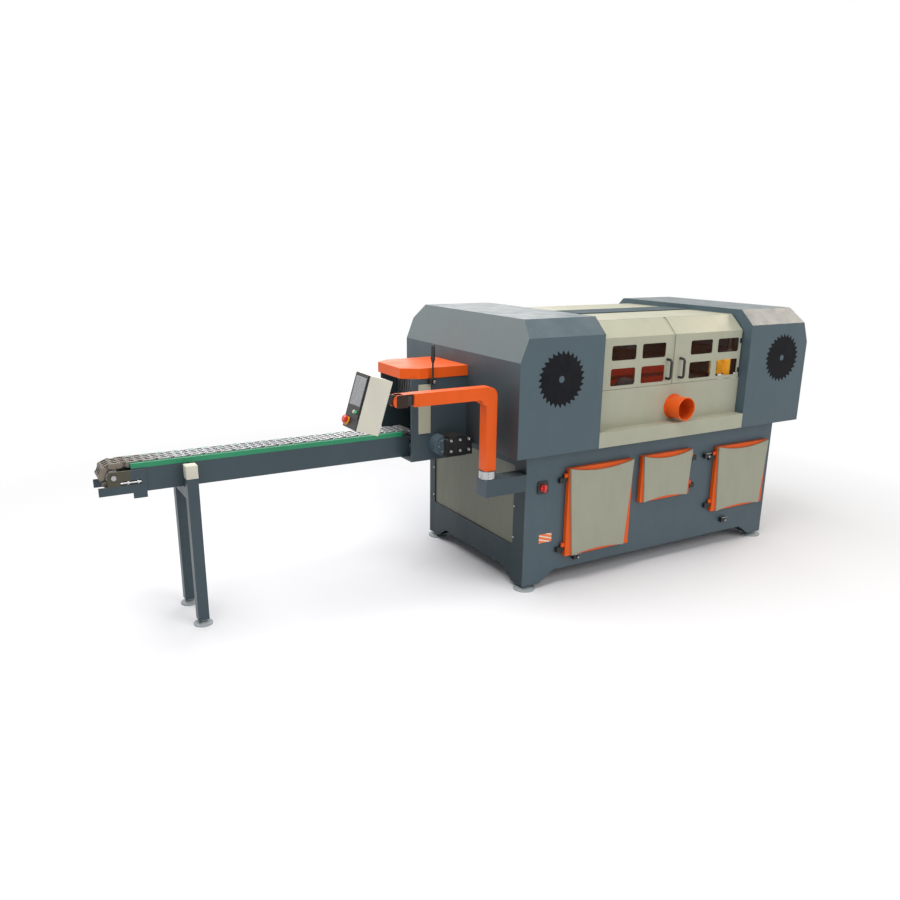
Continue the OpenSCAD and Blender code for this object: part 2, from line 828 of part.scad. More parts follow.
// Open channel of side plates and a floor, with strips for the returning chain
module conveyor_beam() color(slate) place() {
    y0 = feed_y - beam_w / 2;
    along_x(beam_x0, beam_l) polygon(bent([[y0, beam_top], [y0, beam_z0], [y0 + beam_w, beam_z0],
        [y0 + beam_w, beam_top]], beam_t));
    return_z = shaft_z - sprocket_r - link_h / 2 - ledge_gap;
    both_sides() box([beam_x0, y0 + beam_t, beam_z0 + beam_t],
        [beam_x1, y0 + rail_w + rail_ledge, return_z]);
}

// Wear rails: a guide beside the chain and a ledge under its outer plates
module conveyor_rails() color([0.12, 0.55, 0.37]) place() both_sides() {
    y0 = feed_y - beam_w / 2;
    along_x(beam_x0, trough_x0 - beam_x0) polygon([[y0 - gap, beam_top],
        [y0 + rail_w + rail_ledge, beam_top],
        [y0 + rail_w + rail_ledge, work_h - link_h - ledge_gap],
            [y0 + rail_w, work_h - link_h - ledge_gap],
        [y0 + rail_w, work_h - rail_drop], [y0 - gap, work_h - rail_drop]]);
}

// Places of the chain's pins, from the lower run's open end round the idler to the upper run's
function chain_pins() = concat(
    [for (i = [top_links:-1:1]) [idler_x + i * link_l, shaft_z - sprocket_r]],
    [for (k = [0:sprocket_teeth / 2]) let (a = -90 - k * 360 / sprocket_teeth)
        [idler_x + sprocket_r * cos(a), shaft_z + sprocket_r * sin(a)]],
    [for (i = [1:top_links]) [idler_x + i * link_l, chain_z]]);

// Outline of one chain plate between two pins
module link_plate(a, b) {
    d = b - a;
    translate(a) rotate(atan2(d[1], d[0])) {
        translate([0, -link_h / 2]) square([norm(d), link_h]);
        circle(link_h / 2);
        translate([norm(d), 0]) circle(link_h / 2);
    }
}

// Leaf chain: rows of plates that change sides from link to link, on pins across the whole width
module conveyor_chain() color(steel) place() {
    pins = chain_pins();
    y0 = feed_y - chain_w / 2;
    row_step = (chain_w - link_t) / (chain_rows - 1);
    for (row = [0:chain_rows - 1]) along_y(y0 + row * row_step, link_t)
        for (i = [row % 2:2:len(pins) - 2]) link_plate(pins[i], pins[i + 1]);
    for (p = pins) rod_y(p[0], p[1], chain_pin_r, y0, chain_w);
}

// Two tube legs joined by a crossbar under the beam
module conveyor_legs() color(slate) place() {
    half = leg_tube / 2;
    both_sides() difference() {
        translate([leg_x - half, feed_y - leg_span / 2 - half, foot_h])
            cube([leg_tube, leg_tube, beam_top - foot_h]);
        rod_z(leg_x, feed_y - leg_span / 2, stem_r + gap, foot_h - cut, stem_reach + 2 * cut);
    }
    box([leg_x - half, feed_y - leg_span / 2 + half, beam_z0 - leg_tube],
        [leg_x + half, feed_y + leg_span / 2 - half, beam_z0]);
    both_sides() box([leg_x - half / 2, feed_y - leg_span / 2 + half, beam_z0],
        [leg_x + half / 2, feed_y - beam_w / 2, beam_top - half]);
}

// Cheeks with a round end at the idler's shaft, a foot under the beam's end and a slot for the tension screw
module tail_plates() color(slate) place() both_sides() {
    y0 = feed_y - beam_w / 2 - tail_plate_t;
    ear = link_h;
    foot_x = beam_x0 + tail_foot_l;
    bar_z = beam_z0 + tail_bar_h;
    screw_y = y0 + tail_plate_t / 2;
    screw_z = bar_z + tail_slot_h / 2;
    difference() {
        union() {
            along_y(y0, tail_plate_t) polygon([[tail_x0, beam_z0], [beam_x0, beam_z0],
                [beam_x0, beam_z0 - ear], [foot_x, beam_z0 - ear], [foot_x, shaft_z + ear],
                [idler_x, shaft_z + ear], [idler_x - ear, shaft_z], [idler_x - ear, bar_z],
                [tail_x0, bar_z]]);
            rod_y(idler_x, shaft_z, ear, y0, tail_plate_t);
        }
        rod_y(idler_x, shaft_z, idler_shaft_r + run_fit, y0 - cut, tail_plate_t + 2 * cut);
        box([idler_x + ear, y0 - cut, bar_z],
            [foot_x - tail_slot_h, y0 + tail_plate_t + cut, bar_z + tail_slot_h]);
    }
    rod_x(screw_y, screw_z, screw_r, idler_x + ear - cut, foot_x - tail_slot_h - idler_x - ear + 2 * cut);
    translate([beam_x0 - tail_slot_h, screw_y, screw_z]) rotate([0, 90, 0])
        cylinder(r = 2 * screw_r, h = 2 * screw_r, $fn = 6);
}

// Hollow bracket on the cabinet's corner with a sleeve for the arm's pivot, and a bright collar on top
module arm_bracket() color(slate) place() difference() {
    z0 = bracket_top - bracket_h;
    y0 = pivot_y - bracket_w / 2;
    union() {
        difference() {
            box([pivot_x - bracket_end, y0, z0], [0, y0 + bracket_w, bracket_top]);
            box([pivot_x + pivot_r + bracket_wall, y0 + bracket_wall, z0 + bracket_wall],
                [cut, y0 + bracket_w - bracket_wall, bracket_top - bracket_wall]);
        }
        rod_z(pivot_x, pivot_y, collar_r, bracket_top, collar_h);
    }
    rod_z(pivot_x, pivot_y, pivot_r + run_fit, z0 - cut, bracket_h + collar_h + 2 * cut);
}

// Pedestal with a round head on the bed
module pedestal(x, y0, w, half, r, z) difference() {
    along_y(y0, w) {
        translate([x - half, bed_h]) square([2 * half, z - bed_h]);
        translate([x, z]) circle(half);
    }
    rod_y(x, z, r + run_fit, y0 - cut, w + 2 * cut);
}

module bearing_blocks() color(slate) place() {
    both_sides() pedestal(arbor_x, feed_y - bearing_span / 2 - bearing_w / 2, bearing_w, bearing_r,
        arbor_r, arbor_z);
    for (x = [pressure_in_x, pressure_out_x])
        both_sides() pedestal(x, feed_y - table_w / 2 - block_w - 2 * gap, block_w, block_half,
            feed_shaft_r, bed_roller_z);
}

module guide_columns() color(steel) place() for (x = [pressure_in_x, pressure_out_x])
    both_sides() translate([x, feed_y - column_span / 2, bed_h]) rotate_extrude()
        polygon([[0, 0], [column_foot_r, 0], [column_foot_r, column_foot_t], [column_r, column_foot_t],
            [column_r, column_h], [0, column_h]]);

module table_length(x0, x1) along_x(x0, x1 - x0)
    polygon([[feed_y - table_w / 2, bed_h], [feed_y - table_w / 2 + web_t, bed_h],
        [feed_y - table_w / 2 + web_t, work_h - table_drop - table_t],
            [feed_y + table_w / 2 - web_t, work_h - table_drop - table_t],
        [feed_y + table_w / 2 - web_t, bed_h], [feed_y + table_w / 2, bed_h],
        [feed_y + table_w / 2, work_h - table_drop], [feed_y - table_w / 2, work_h - table_drop]]);

// Lengths of the table between the drive shaft, the bed rollers and the blades
module work_table() color(steel) place() {
    table_length(drive_x + sprocket_r + sprocket_tip + link_h, pressure_in_x - roller_gap);
    table_length(pressure_in_x + roller_gap, arbor_x - chip_half);
    table_length(arbor_x + chip_half, pressure_out_x - roller_gap);
    table_length(pressure_out_x + roller_gap, casing_x1);
}

// Outline of the motor's frame: a fin and a gap for each step round it
function fin_outline() = [for (i = [0:motor_fins - 1]) for (q = fin_shares)
    let (a = (i + q[0]) * 360 / motor_fins, r = motor_r - q[1] * motor_fin) [r * sin(a),
        motor_h + r * cos(a)]];
fin_shares = [[-0.1, 0], [0.1, 0], [0.2, 1], [0.8, 1]];

// Finned motor between two end bells, on two feet
module saw_motor() color([0.2, 0.25, 0.35]) place() difference() {
    bell_r = motor_r - motor_fin / 2;
    union() {
        along_y(motor_front_y + motor_fin, motor_l - 2 * motor_fin) translate([arbor_x, 0])
            polygon(fin_outline());
        for (y = [motor_front_y, motor_front_y + motor_l - 2 * motor_fin])
            rod_y(arbor_x, motor_h, bell_r, y, 2 * motor_fin);
        for (y = [motor_front_y + 3 * motor_fin, motor_front_y + motor_l - 6 * motor_fin])
            box([arbor_x - motor_r, y, shelf_z],
                [arbor_x + motor_r, y + 3 * motor_fin, motor_h - motor_r / 2]);
    }
    rod_y(arbor_x, motor_h, motor_shaft_r + run_fit, motor_front_y + motor_l / 2, motor_l);
}

// Belt round the two pulleys at a distance from them: an arc over each, joined by two straights
function belt_outline(grow) =
    let (d = arbor_z - motor_h, lean = asin((motor_pulley_r - arbor_pulley_r) / d),
         low = motor_pulley_r + grow, high = arbor_pulley_r + grow, turn = 180 - 2 * lean)
    concat([for (k = [0:belt_steps]) let (a = lean + k * turn / belt_steps)
            [arbor_x + high * cos(a), arbor_z + high * sin(a)]],
        [for (k = [0:belt_steps]) let (a = 180 - lean + k * (360 - turn) / belt_steps)
            [arbor_x + low * cos(a), motor_h + low * sin(a)]]);

module drive_belt() color(black) place() difference() {
    along_y(pulley_y + (pulley_w - belt_w) / 2, belt_w) polygon(belt_outline(2 * gap + belt_t));
    along_y(pulley_y - cut, pulley_w + 2 * cut) polygon(belt_outline(2 * gap));
}

// Folded guard over the blades, standing on the bed beside the table
module blade_hood() color([0.55, 0.13, 0.1]) place() difference() {
    top = arbor_z + blade_r + hood_rise;
    box([arbor_x - hood_half_l, feed_y - hood_half_w, bed_h],
        [arbor_x + hood_half_l, feed_y + hood_half_w, top]);
    box([arbor_x - hood_half_l + hood_wall, feed_y - hood_half_w + hood_wall, bed_h - cut],
        [arbor_x + hood_half_l - hood_wall, feed_y + hood_half_w - hood_wall, top - hood_wall]);
    box([arbor_x - hood_half_l - cut, feed_y - hood_half_w + hood_wall, bed_h - cut],
        [arbor_x + hood_half_l + cut, feed_y + hood_half_w - hood_wall, work_h + hood_lip_h]);
    rod_y(arbor_x, arbor_z, arbor_r + 2 * hood_wall, feed_y - hood_half_w - cut,
        2 * hood_half_w + 2 * cut);
}

// Left edges of a leaf's windows, counted from its seam edge, as many as fit beside the hinges
function window_xs(margin) =
    let (step = window_w + window_gap,
         n = floor((leaf_x1 - margin - leaf_x0 - window_border + window_gap) / step))
    [for (i = [1:1:n]) leaf_x1 - margin - i * step + window_gap];
window_z = door_z0 + window_rise;

// Bent door sheet with four windows and the moving halves of its hinges
module door_leaf(margin) {
    difference() {
        union() {
            along_x(leaf_x0, leaf_x1 - leaf_x0) polygon(bent(door_path, -door_t));
            for (z = door_hinge_heights)
                rod_z(hinge_x, hinge_y, knuckle_r, z + knuckle_l + gap, knuckle_l);
        }
        for (x = window_xs(margin)) along_y(door_y - cut, door_t + 2 * cut) {
            translate([x, window_z]) rounded(window_w, window_low_h, window_r);
            translate([x, window_z + window_low_h + window_row_gap])
                rounded(window_w, window_up_h, window_r);
        }
        for (z = door_hinge_heights) {
            box([leaf_x0 - cut, door_y - cut, z - gap],
                [hinge_x + knuckle_r + 2 * gap, hinge_y + knuckle_r + cut, z + knuckle_l + gap]);
            rod_z(hinge_x, hinge_y, door_pin_r + run_fit, z, 2 * knuckle_l + 2 * gap);
        }
    }
}

// Smoked sheet behind the windows
module door_panes(margin) {
    xs = window_xs(margin);
    box([max(xs[len(xs) - 1] - pane_lap, hinge_x + knuckle_r + 4 * gap), door_y + door_t, window_z - pane_lap],
        [xs[0] + window_w + pane_lap, door_y + door_t + pane_t,
         window_z + window_low_h + window_row_gap + window_up_h + pane_lap]);
}

// Bow handle: an upright bar with round bends to its two feet
module door_handle(inset) translate([leaf_x1 - inset, door_y, door_z0 + handle_rise]) {
    r = handle_d / 2;
    bend = 1.5 * handle_d;
    for (z = [r, handle_l - r]) translate([0, -handle_reach + bend, z]) rotate([-90, 0, 0])
        cylinder(r = r, h = handle_reach - bend);
    translate([0, -handle_reach + r, r + bend - r]) cylinder(r = r, h = handle_l - 2 * bend);
    translate([0, -handle_reach + bend, bend]) rotate([90, 90, -90]) rotate_extrude(angle = 90)
        translate([bend - r, 0]) circle(r);
    translate([0, -handle_reach + bend, handle_l - bend]) rotate([90, 0, -90]) rotate_extrude(angle = 90)
        translate([bend - r, 0]) circle(r);
}

module door_left() color(beige) place() door_leaf(left_margin);
module door_left_panes() color([0.2, 0.13, 0.1, 0.6]) place() door_panes(left_margin);
module door_left_handle() color(black) place() door_handle(left_handle_in);
module door_right() color(beige) place() across_seam() door_leaf(right_margin);
module door_right_panes() color([0.2, 0.13, 0.1, 0.6]) place() across_seam() door_panes(right_margin);
module door_right_handle() color(black) place() across_seam() door_handle(right_handle_in);

// Tray of an access panel hinged at its left edge, with a folded rim and its knuckles
module panel_tray(x, w, z, h) {
    x0 = x + panel_hinge_in;
    rim = tray_t / 3;
    difference() {
        box([x0, tray_y, z], [x + w, tray_y + tray_t, z + h]);
        box([x0 + rim, tray_y + rim, z + rim], [x + w - rim, tray_y + tray_t + cut, z + h - rim]);
    }
    for (k = hinge_heights(z, h)) difference() {
        union() {
            rod_z(x, panel_hinge_y, panel_knuckle_r, k + panel_block_h + gap, panel_knuckle_l);
            box([x, panel_hinge_y - panel_pin_r, k + panel_block_h + gap],
                [x0, panel_hinge_y + panel_pin_r, k + panel_block_h + gap + panel_knuckle_l]);
        }
        rod_z(x, panel_hinge_y, panel_pin_r + run_fit, k, panel_block_h + panel_knuckle_l + cut);
    }
}

// Radius of an arc across a chord, from its depth
function arc_radius(chord, sag) = chord * chord / (8 * sag) + sag / 2;

// Cover on a tray: its sides lean in to the bottom, and its upper and lower edges are hollow arcs
module panel_cover(x, w, z, h) {
    x0 = x + panel_hinge_in + cover_border;
    x1 = x + w - cover_border;
    lean = h * cover_lean_share;
    top_r = arc_radius(x1 - x0, cover_top_sag);
    low_r = arc_radius(x1 - x0 - 2 * lean, cover_low_sag);
    along_y(tray_y - cover_t, cover_t) difference() {
        polygon([[x0 + lean, z], [x1 - lean, z], [x1, z + h], [x0, z + h]]);
        translate([(x0 + x1) / 2, z + cover_low_sag - low_r]) circle(low_r, $fn = 720);
        translate([(x0 + x1) / 2, z + h - cover_top_sag + top_r]) circle(top_r, $fn = 720);
    }
}

module across(x) translate([2 * x, 0, 0]) mirror([1, 0, 0]) children();

module panel_left_tray() color(orange) place()
    panel_tray(panel_left_x, panel_left_w, panel_left_z, panel_left_h);
module panel_left_cover() color(beige) place()
    panel_cover(panel_left_x, panel_left_w, panel_left_z, panel_left_h);
module panel_middle_tray() color(orange) place() across(panel_middle_x + panel_middle_w / 2)
    panel_tray(panel_middle_x, panel_middle_w, panel_middle_z, panel_middle_h);
module panel_middle_cover() color(beige) place() across(panel_middle_x + panel_middle_w / 2)
    panel_cover(panel_middle_x, panel_middle_w, panel_middle_z, panel_middle_h);
module panel_right_tray() color(orange) place()
    panel_tray(panel_right_x, panel_right_w, panel_right_z, panel_right_h);
module panel_right_cover() color(beige) place()
    panel_cover(panel_right_x, panel_right_w, panel_right_z, panel_right_h);

// Square tube bent over a round corner, with a pivot pin below and a fork for the control box
module swing_arm() color(orange) place() {
    half = arm_tube / 2;
    x1 = pivot_x + half;
    z0 = bracket_top + collar_h + gap;
    end_x = pivot_x - arm_reach;
    along_y(pivot_y - half, arm_tube) {
        translate([x1 - arm_tube, z0]) square([arm_tube, arm_top - arm_bend_r - z0]);
        translate([end_x, arm_top - arm_tube]) square([x1 - arm_bend_r - end_x, arm_tube]);
        translate([x1 - arm_bend_r, arm_top - arm_bend_r]) circle(arm_bend_r);
    }
    rod_z(pivot_x, pivot_y, pivot_r, bracket_top - bracket_h, bracket_h + collar_h + gap + cut);
    for (y = [pivot_y - fork_gap / 2 - fork_t, pivot_y + fork_gap / 2]) along_y(y, fork_t) {
        translate([tilt_x, arm_top - arm_tube]) square([cheek_l, arm_tube]);
        translate([tilt_x, tilt_z]) circle(half);
    }
    box([tilt_x + lug_r + 4 * gap, pivot_y - fork_gap / 2 - fork_t, arm_top - fork_t],
        [end_x, pivot_y + fork_gap / 2 + fork_t, arm_top]);
    rod_y(tilt_x, tilt_z, tilt_r, pivot_y - fork_gap / 2 - fork_t, fork_gap + 2 * fork_t);
}

// Frame of the control box: X out of its face, Y across, Z up along the face, from the tilt pin
box_out = lug_l + box_d;
module at_box() translate([tilt_x, pivot_y, tilt_z]) rotate([0, box_lean, 0]) mirror([1, 0, 0])
    children();
box_z0 = -box_l / 2 - box_drop;

// Hollow box with a lug that turns on the arm's pin
module control_box() color([0.82, 0.82, 0.76]) place() at_box() {
    difference() {
        box([lug_l, -box_w / 2, box_z0], [box_out, box_w / 2, box_z0 + box_l]);
        box([lug_l + box_wall, -box_w / 2 + box_wall, box_z0 + box_wall],
            [box_out + cut, box_w / 2 - box_wall, box_z0 + box_l - box_wall]);
    }
    difference() {
        union() {
            translate([0, lug_w / 2, 0]) rotate([90, 0, 0]) cylinder(r = lug_r, h = lug_w);
            box([0, -lug_w / 2, -lug_r], [lug_l, lug_w / 2, lug_r]);
        }
        translate([0, lug_w / 2 + cut, 0]) rotate([90, 0, 0])
            cylinder(r = tilt_r + run_fit, h = lug_w + 2 * cut);
    }
}

estop_y = box_w / 2 - estop_inset;
estop_z = box_z0 + estop_inset + face_low;

// Front plate with a raised screen frame and the seat of the stop button
module control_face() color(black) place() at_box() difference() {
    union() {
        box([box_out, -box_w / 2, box_z0], [box_out + face_t / 2, box_w / 2, box_z0 + box_l]);
        box([box_out + face_t / 2, -box_w / 2 + screen_in / 2, box_z0 + box_l - face_l],
            [box_out + face_t, box_w / 2 - screen_in / 2, box_z0 + box_l - screen_in / 2]);
    }
    box([box_out + face_t - face_t / 4, -box_w / 2 + screen_in, box_z0 + box_l - face_l + 3 * estop_r],
        [box_out + face_t + cut, box_w / 2 - screen_in, box_z0 + box_l - screen_in]);
    translate([box_out - cut, estop_y, estop_z]) rotate([0, 90, 0])
        cylinder(r = estop_neck_r + run_fit, h = face_t + 2 * cut);
}

// Mushroom stop button on its neck
module estop_button() color([0.8, 0.08, 0.05]) place() at_box() translate([box_out, estop_y, estop_z])
    rotate([0, 90, 0]) rotate_extrude() {
        polygon([[0, -estop_travel], [estop_neck_r, -estop_travel],
            [estop_neck_r, estop_h / 2 + estop_travel / 2],
            [estop_r, estop_h / 2 + estop_travel / 2], [estop_r, estop_h - estop_travel],
                [estop_r - estop_travel, estop_h], [0, estop_h]]);
    }

// Switch knob with a grip bar, on its spindle
module main_switch_knob() color([0.8, 0.12, 0.06]) place() {
    rod_y(switch_x, switch_z, switch_shaft_r, -switch_t - gap, switch_t + plate_t);
    rod_y(switch_x, switch_z, knob_r, -switch_t - gap - knob_t / 2, knob_t / 2);
    box([switch_x - knob_grip / 2, -switch_t - gap - knob_t, switch_z - knob_r],
        [switch_x + knob_grip / 2, -switch_t - gap - knob_t / 2, switch_z + knob_r]);
}

lever_y = feed_y - trough_w / 2 - hood_gap - hood_t - lever_hub_l;

// Lever with a hub and a ball grip on the kickback shaft's front end
module kickback_lever() color(black) place() {
    rod_y(kickback_x, kickback_z, 2 * lever_r, lever_y - 2 * lever_r, 2 * lever_r + lever_hub_l - gap);
    rod_z(kickback_x, lever_y - lever_r, lever_r * rod_share, kickback_z, lever_l);
    translate([kickback_x, lever_y - lever_r, kickback_z + lever_l / 2]) rotate_extrude()
        polygon(concat([[0, 0]], [for (q = grip_shares) [q[0] * lever_r, q[1] * lever_l / 2]],
            [[0, lever_l / 2]]));
}

// Shaft with a row of hanging fingers and spacers between them
module kickback_fingers() color(steel) place() {
    y0 = feed_y - trough_w / 2;
    inner = trough_w - 2 * trough_t - 4 * gap;
    step = inner / finger_count;
    rod_y(kickback_x, kickback_z, kickback_r, lever_y + lever_hub_l - gap,
        trough_w + hood_gap + hood_t + gap);
    for (i = [0:finger_count - 1])
        along_y(y0 + trough_t + 2 * gap + i * step + (step - finger_t) / 2, finger_t) {
        translate([kickback_x, kickback_z]) circle(finger_w / 2);
        polygon([[kickback_x - finger_w / 2, kickback_z], [kickback_x + finger_w / 2, kickback_z],
            [kickback_x + finger_w / 4, kickback_z - finger_l],
                [kickback_x - finger_w / 3, kickback_z - finger_l + finger_w / 2]]);
    }
}

// Outline of a chain wheel: a seat for each pin and a tooth between
module sprocket_outline() difference() {
    circle(sprocket_r + sprocket_tip);
    for (i = [0:sprocket_teeth - 1]) rotate(i * 360 / sprocket_teeth) {
        translate([sprocket_r, 0]) circle(chain_pin_r + gap);
        polygon([[sprocket_r, -chain_pin_r - gap], [sprocket_r + 2 * sprocket_tip, -2 * chain_pin_r],
            [sprocket_r + 2 * sprocket_tip, 2 * chain_pin_r], [sprocket_r, chain_pin_r + gap]]);
    }
}

module drive_sprocket() color(steel) place() {
    y0 = feed_y - trough_w / 2 - gearbox_d / 2 + gap;
    rod_y(drive_x, shaft_z, feed_shaft_r, y0, trough_w + gearbox_d / 2);
    rod_y(drive_x, shaft_z, 2 * feed_shaft_r, feed_y - chain_w / 2, chain_w);
    for (s = [-1, 0, 1]) along_y(feed_y + s * chain_w / 3 - link_t / 2, link_t)
        translate([drive_x, shaft_z]) sprocket_outline();
}

module idler_drum() color(steel) place() {
    w = beam_w + 4 * tail_plate_t;
    rod_y(idler_x, shaft_z, idler_shaft_r, feed_y - w / 2, w);
    rod_y(idler_x, shaft_z, idler_r, feed_y - beam_w / 2 + beam_t, beam_w - 2 * beam_t);
}

// Pulley outline with a groove for each belt
function pulley_outline(r, w) = concat([[0, 0], [r, 0]],
    [for (k = [0:pulley_grooves - 1]) for (q = groove_shares)
        [r - q[1] * groove_depth, (k + q[0]) * w / pulley_grooves]],
    [[r, w], [0, w]]);

module saw_arbor() color(steel) place() translate([arbor_x, 0, arbor_z]) rotate([-90, 0, 0]) {
    y0 = feed_y - bearing_span / 2 - bearing_w / 2 - arbor_overhang;
    translate([0, 0, y0]) cylinder(r = arbor_r, h = pulley_y + pulley_w - y0);
    translate([0, 0, pulley_y]) rotate_extrude() polygon(pulley_outline(arbor_pulley_r, pulley_w));
    translate([0, 0, stack_y1]) cylinder(r = spacer_r, h = arbor_r);
    translate([0, 0, stack_y0 - arbor_r]) cylinder(r = spacer_r, h = arbor_r, $fn = 6);
}

stack_y0 = feed_y - blade_count * blade_step / 2;
stack_y1 = feed_y + blade_count * blade_step / 2;

// Toothed outline of a blade: a rake face, a tip and a hollow back for each tooth
function blade_outline() = [for (i = [0:blade_teeth - 1]) for (q = tooth_shares)
    let (a = (i + q[0]) * 360 / blade_teeth, r = blade_r - q[1] * tooth_depth) [r * cos(a), r * sin(a)]];
tooth_shares = [[0, 0], [0.06, 1], [0.28, 0.9], [0.55, 0.45], [0.8, 0.12]];

module saw_blades() color(steel) place() translate([arbor_x, 0, arbor_z]) rotate([-90, 0, 0])
    difference() {
    union() {
        for (i = [0:blade_count - 1]) translate([0, 0, stack_y0 + (i + 0.5) * blade_step - blade_t / 2])
            linear_extrude(blade_t) rotate(i * 360 / blade_teeth / blade_count) polygon(blade_outline());
        translate([0, 0, stack_y0]) cylinder(r = spacer_r - groove_depth, h = blade_count * blade_step);
    }
    translate([0, 0, stack_y0 - cut])
        cylinder(r = arbor_r + run_fit, h = blade_count * blade_step + 2 * cut);
}

module motor_rotor() color(steel) place() translate([arbor_x, 0, motor_h]) rotate([-90, 0, 0]) {
    y0 = motor_front_y + motor_l / 2 + gap;
    translate([0, 0, y0]) cylinder(r = motor_shaft_r, h = pulley_y + pulley_w - y0);
    translate([0, 0, pulley_y]) rotate_extrude() polygon(pulley_outline(motor_pulley_r, pulley_w));
}

// Yoke on the guide columns with two hangers for its roller
module pressure_carriage(x) {
    difference() {
        union() {
            difference() {
                box([x - yoke_half, feed_y - column_span / 2, yoke_z],
                    [x + yoke_half, feed_y + column_span / 2, yoke_z + yoke_t]);
                box([x - yoke_half + yoke_wall, feed_y - column_span / 2 + yoke_wall, yoke_z - cut],
                    [x + yoke_half - yoke_wall, feed_y + column_span / 2 - yoke_wall,
                        yoke_z + yoke_t - yoke_wall]);
            }
            both_sides() rod_z(x, feed_y - column_span / 2, sleeve_r,
                yoke_z + yoke_t / 2 - sleeve_h / 2, sleeve_h);
            both_sides() along_y(feed_y - pressure_roller_l / 2 - hanger_t - gap, hanger_t) {
                translate([x - hanger_half, pressure_z])
                    square([2 * hanger_half, yoke_z + yoke_t - yoke_wall - pressure_z]);
                translate([x, pressure_z]) circle(hanger_half);
            }
        }
        both_sides() rod_z(x, feed_y - column_span / 2, column_r + run_fit, bed_h, casing_h);
        rod_y(x, pressure_z, feed_shaft_r + run_fit, feed_y - pressure_roller_l, 2 * pressure_roller_l);
    }
}

// Ribbed roller on its shaft
module roller(x, z, r, l, shaft_l) {
    rod_y(x, z, feed_shaft_r, feed_y - shaft_l / 2, shaft_l);
    translate([x, feed_y - l / 2, z]) rotate([-90, 0, 0]) rotate_extrude() polygon(concat([[0, 0]],
        [for (k = [0:roller_ribs - 1]) for (q = [[0, 0], [0.6, 0], [0.7, 1], [0.9, 1]])
            [r - q[1] * roller_groove, (k + q[0]) * l / roller_ribs]], [[r, l], [0, l]]));
}

pressure_shaft_l = pressure_roller_l + 2 * hanger_t + 2 * gap;
bed_shaft_l = table_w + 2 * block_w + 4 * gap;

module infeed_pressure_carriage() color([0.92, 0.6, 0.1]) place() pressure_carriage(pressure_in_x);
module outfeed_pressure_carriage() color([0.92, 0.6, 0.1]) place() pressure_carriage(pressure_out_x);
module infeed_pressure_roller() color(steel) place()
    roller(pressure_in_x, pressure_z, pressure_r, pressure_roller_l, pressure_shaft_l);
module outfeed_pressure_roller() color(steel) place()
    roller(pressure_out_x, pressure_z, pressure_r, pressure_roller_l, pressure_shaft_l);
module infeed_bed_roller() color(steel) place()
    roller(pressure_in_x, bed_roller_z, bed_roller_r, roller_l, bed_shaft_l);
module outfeed_bed_roller() color(steel) place()
    roller(pressure_out_x, bed_roller_z, bed_roller_r, roller_l, bed_shaft_l);

base_front_plate();
base_rear_plate();
base_end_frames();
base_end_panels();
motor_shelf();
levelling_feet();
bed_plate();
infeed_housing();
outfeed_housing();
roof_cover();
front_apron();
dust_spout();
hinge_blocks();
switch_bodies();
infeed_trough();
trough_strip();
infeed_hood();
feed_gearbox();
conveyor_beam();
conveyor_rails();
conveyor_chain();
conveyor_legs();
tail_plates();
arm_bracket();
bearing_blocks();
guide_columns();
work_table();
saw_motor();
drive_belt();
blade_hood();
door_left();
door_left_panes();
door_left_handle();
door_right();
door_right_panes();
door_right_handle();
panel_left_tray();
panel_left_cover();
panel_middle_tray();
panel_middle_cover();
panel_right_tray();
panel_right_cover();
swing_arm();
control_box();
control_face();
estop_button();
main_switch_knob();
kickback_lever();
kickback_fingers();
drive_sprocket();
idler_drum();
saw_arbor();
saw_blades();
motor_rotor();
infeed_pressure_carriage();
infeed_pressure_roller();
outfeed_pressure_carriage();
outfeed_pressure_roller();
infeed_bed_roller();
outfeed_bed_roller();
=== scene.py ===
"""Looks of a multi rip saw: finishes for its solids, small fittings, studio and camera."""
import json
import math

import bpy
from mathutils import Matrix, Vector


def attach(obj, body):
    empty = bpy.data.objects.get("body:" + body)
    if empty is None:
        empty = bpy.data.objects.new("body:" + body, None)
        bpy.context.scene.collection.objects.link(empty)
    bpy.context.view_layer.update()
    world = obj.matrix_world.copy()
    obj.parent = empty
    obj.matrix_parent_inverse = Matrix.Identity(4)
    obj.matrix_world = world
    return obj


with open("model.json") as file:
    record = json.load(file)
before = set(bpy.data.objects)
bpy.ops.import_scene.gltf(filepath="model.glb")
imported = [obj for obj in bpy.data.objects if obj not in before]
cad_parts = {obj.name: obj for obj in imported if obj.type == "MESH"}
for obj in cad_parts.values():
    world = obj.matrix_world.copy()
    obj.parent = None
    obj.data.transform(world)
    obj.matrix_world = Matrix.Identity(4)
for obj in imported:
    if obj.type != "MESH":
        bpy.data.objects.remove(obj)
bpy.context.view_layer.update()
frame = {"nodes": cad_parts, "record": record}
nodes = frame["nodes"]
bpy.ops.object.select_all(action="DESELECT")


class Value:
    """A socket of a finish, so that sums on it add Math nodes."""

    def __init__(self, finish, socket):
        self.finish, self.socket = finish, socket

    def _math(self, operation, a, b=0.0):
        return self.finish.add("Math", {"operation": operation}, {0: a, 1: b})

    def __add__(self, other):
        return self._math("ADD", self, other)

    def __sub__(self, other):
        return self._math("SUBTRACT", self, other)

    def __rsub__(self, other):
        return self._math("SUBTRACT", other, self)

    def __mul__(self, other):
        return self._math("MULTIPLY", self, other)

    def __pow__(self, other):
        return self._math("POWER", self, other)

    def __gt__(self, other):
        return self._math("GREATER_THAN", self, other)

    def __lt__(self, other):
        return self._math("LESS_THAN", self, other)

    __radd__, __rmul__ = __add__, __mul__

    def fraction(self):
        return self._math("FRACT", self)

    def clipped(self):
        """The value kept between 0 and 1."""
        return self.finish.add("Clamp", {}, {"Value": self})

    def ramp(self, low, high):
        """0 below the low value, 1 above the high one and a slope between."""
        return self.finish.add("MapRange", {"clamp": True}, {"Value": self, "From Min": low, "From Max": high})


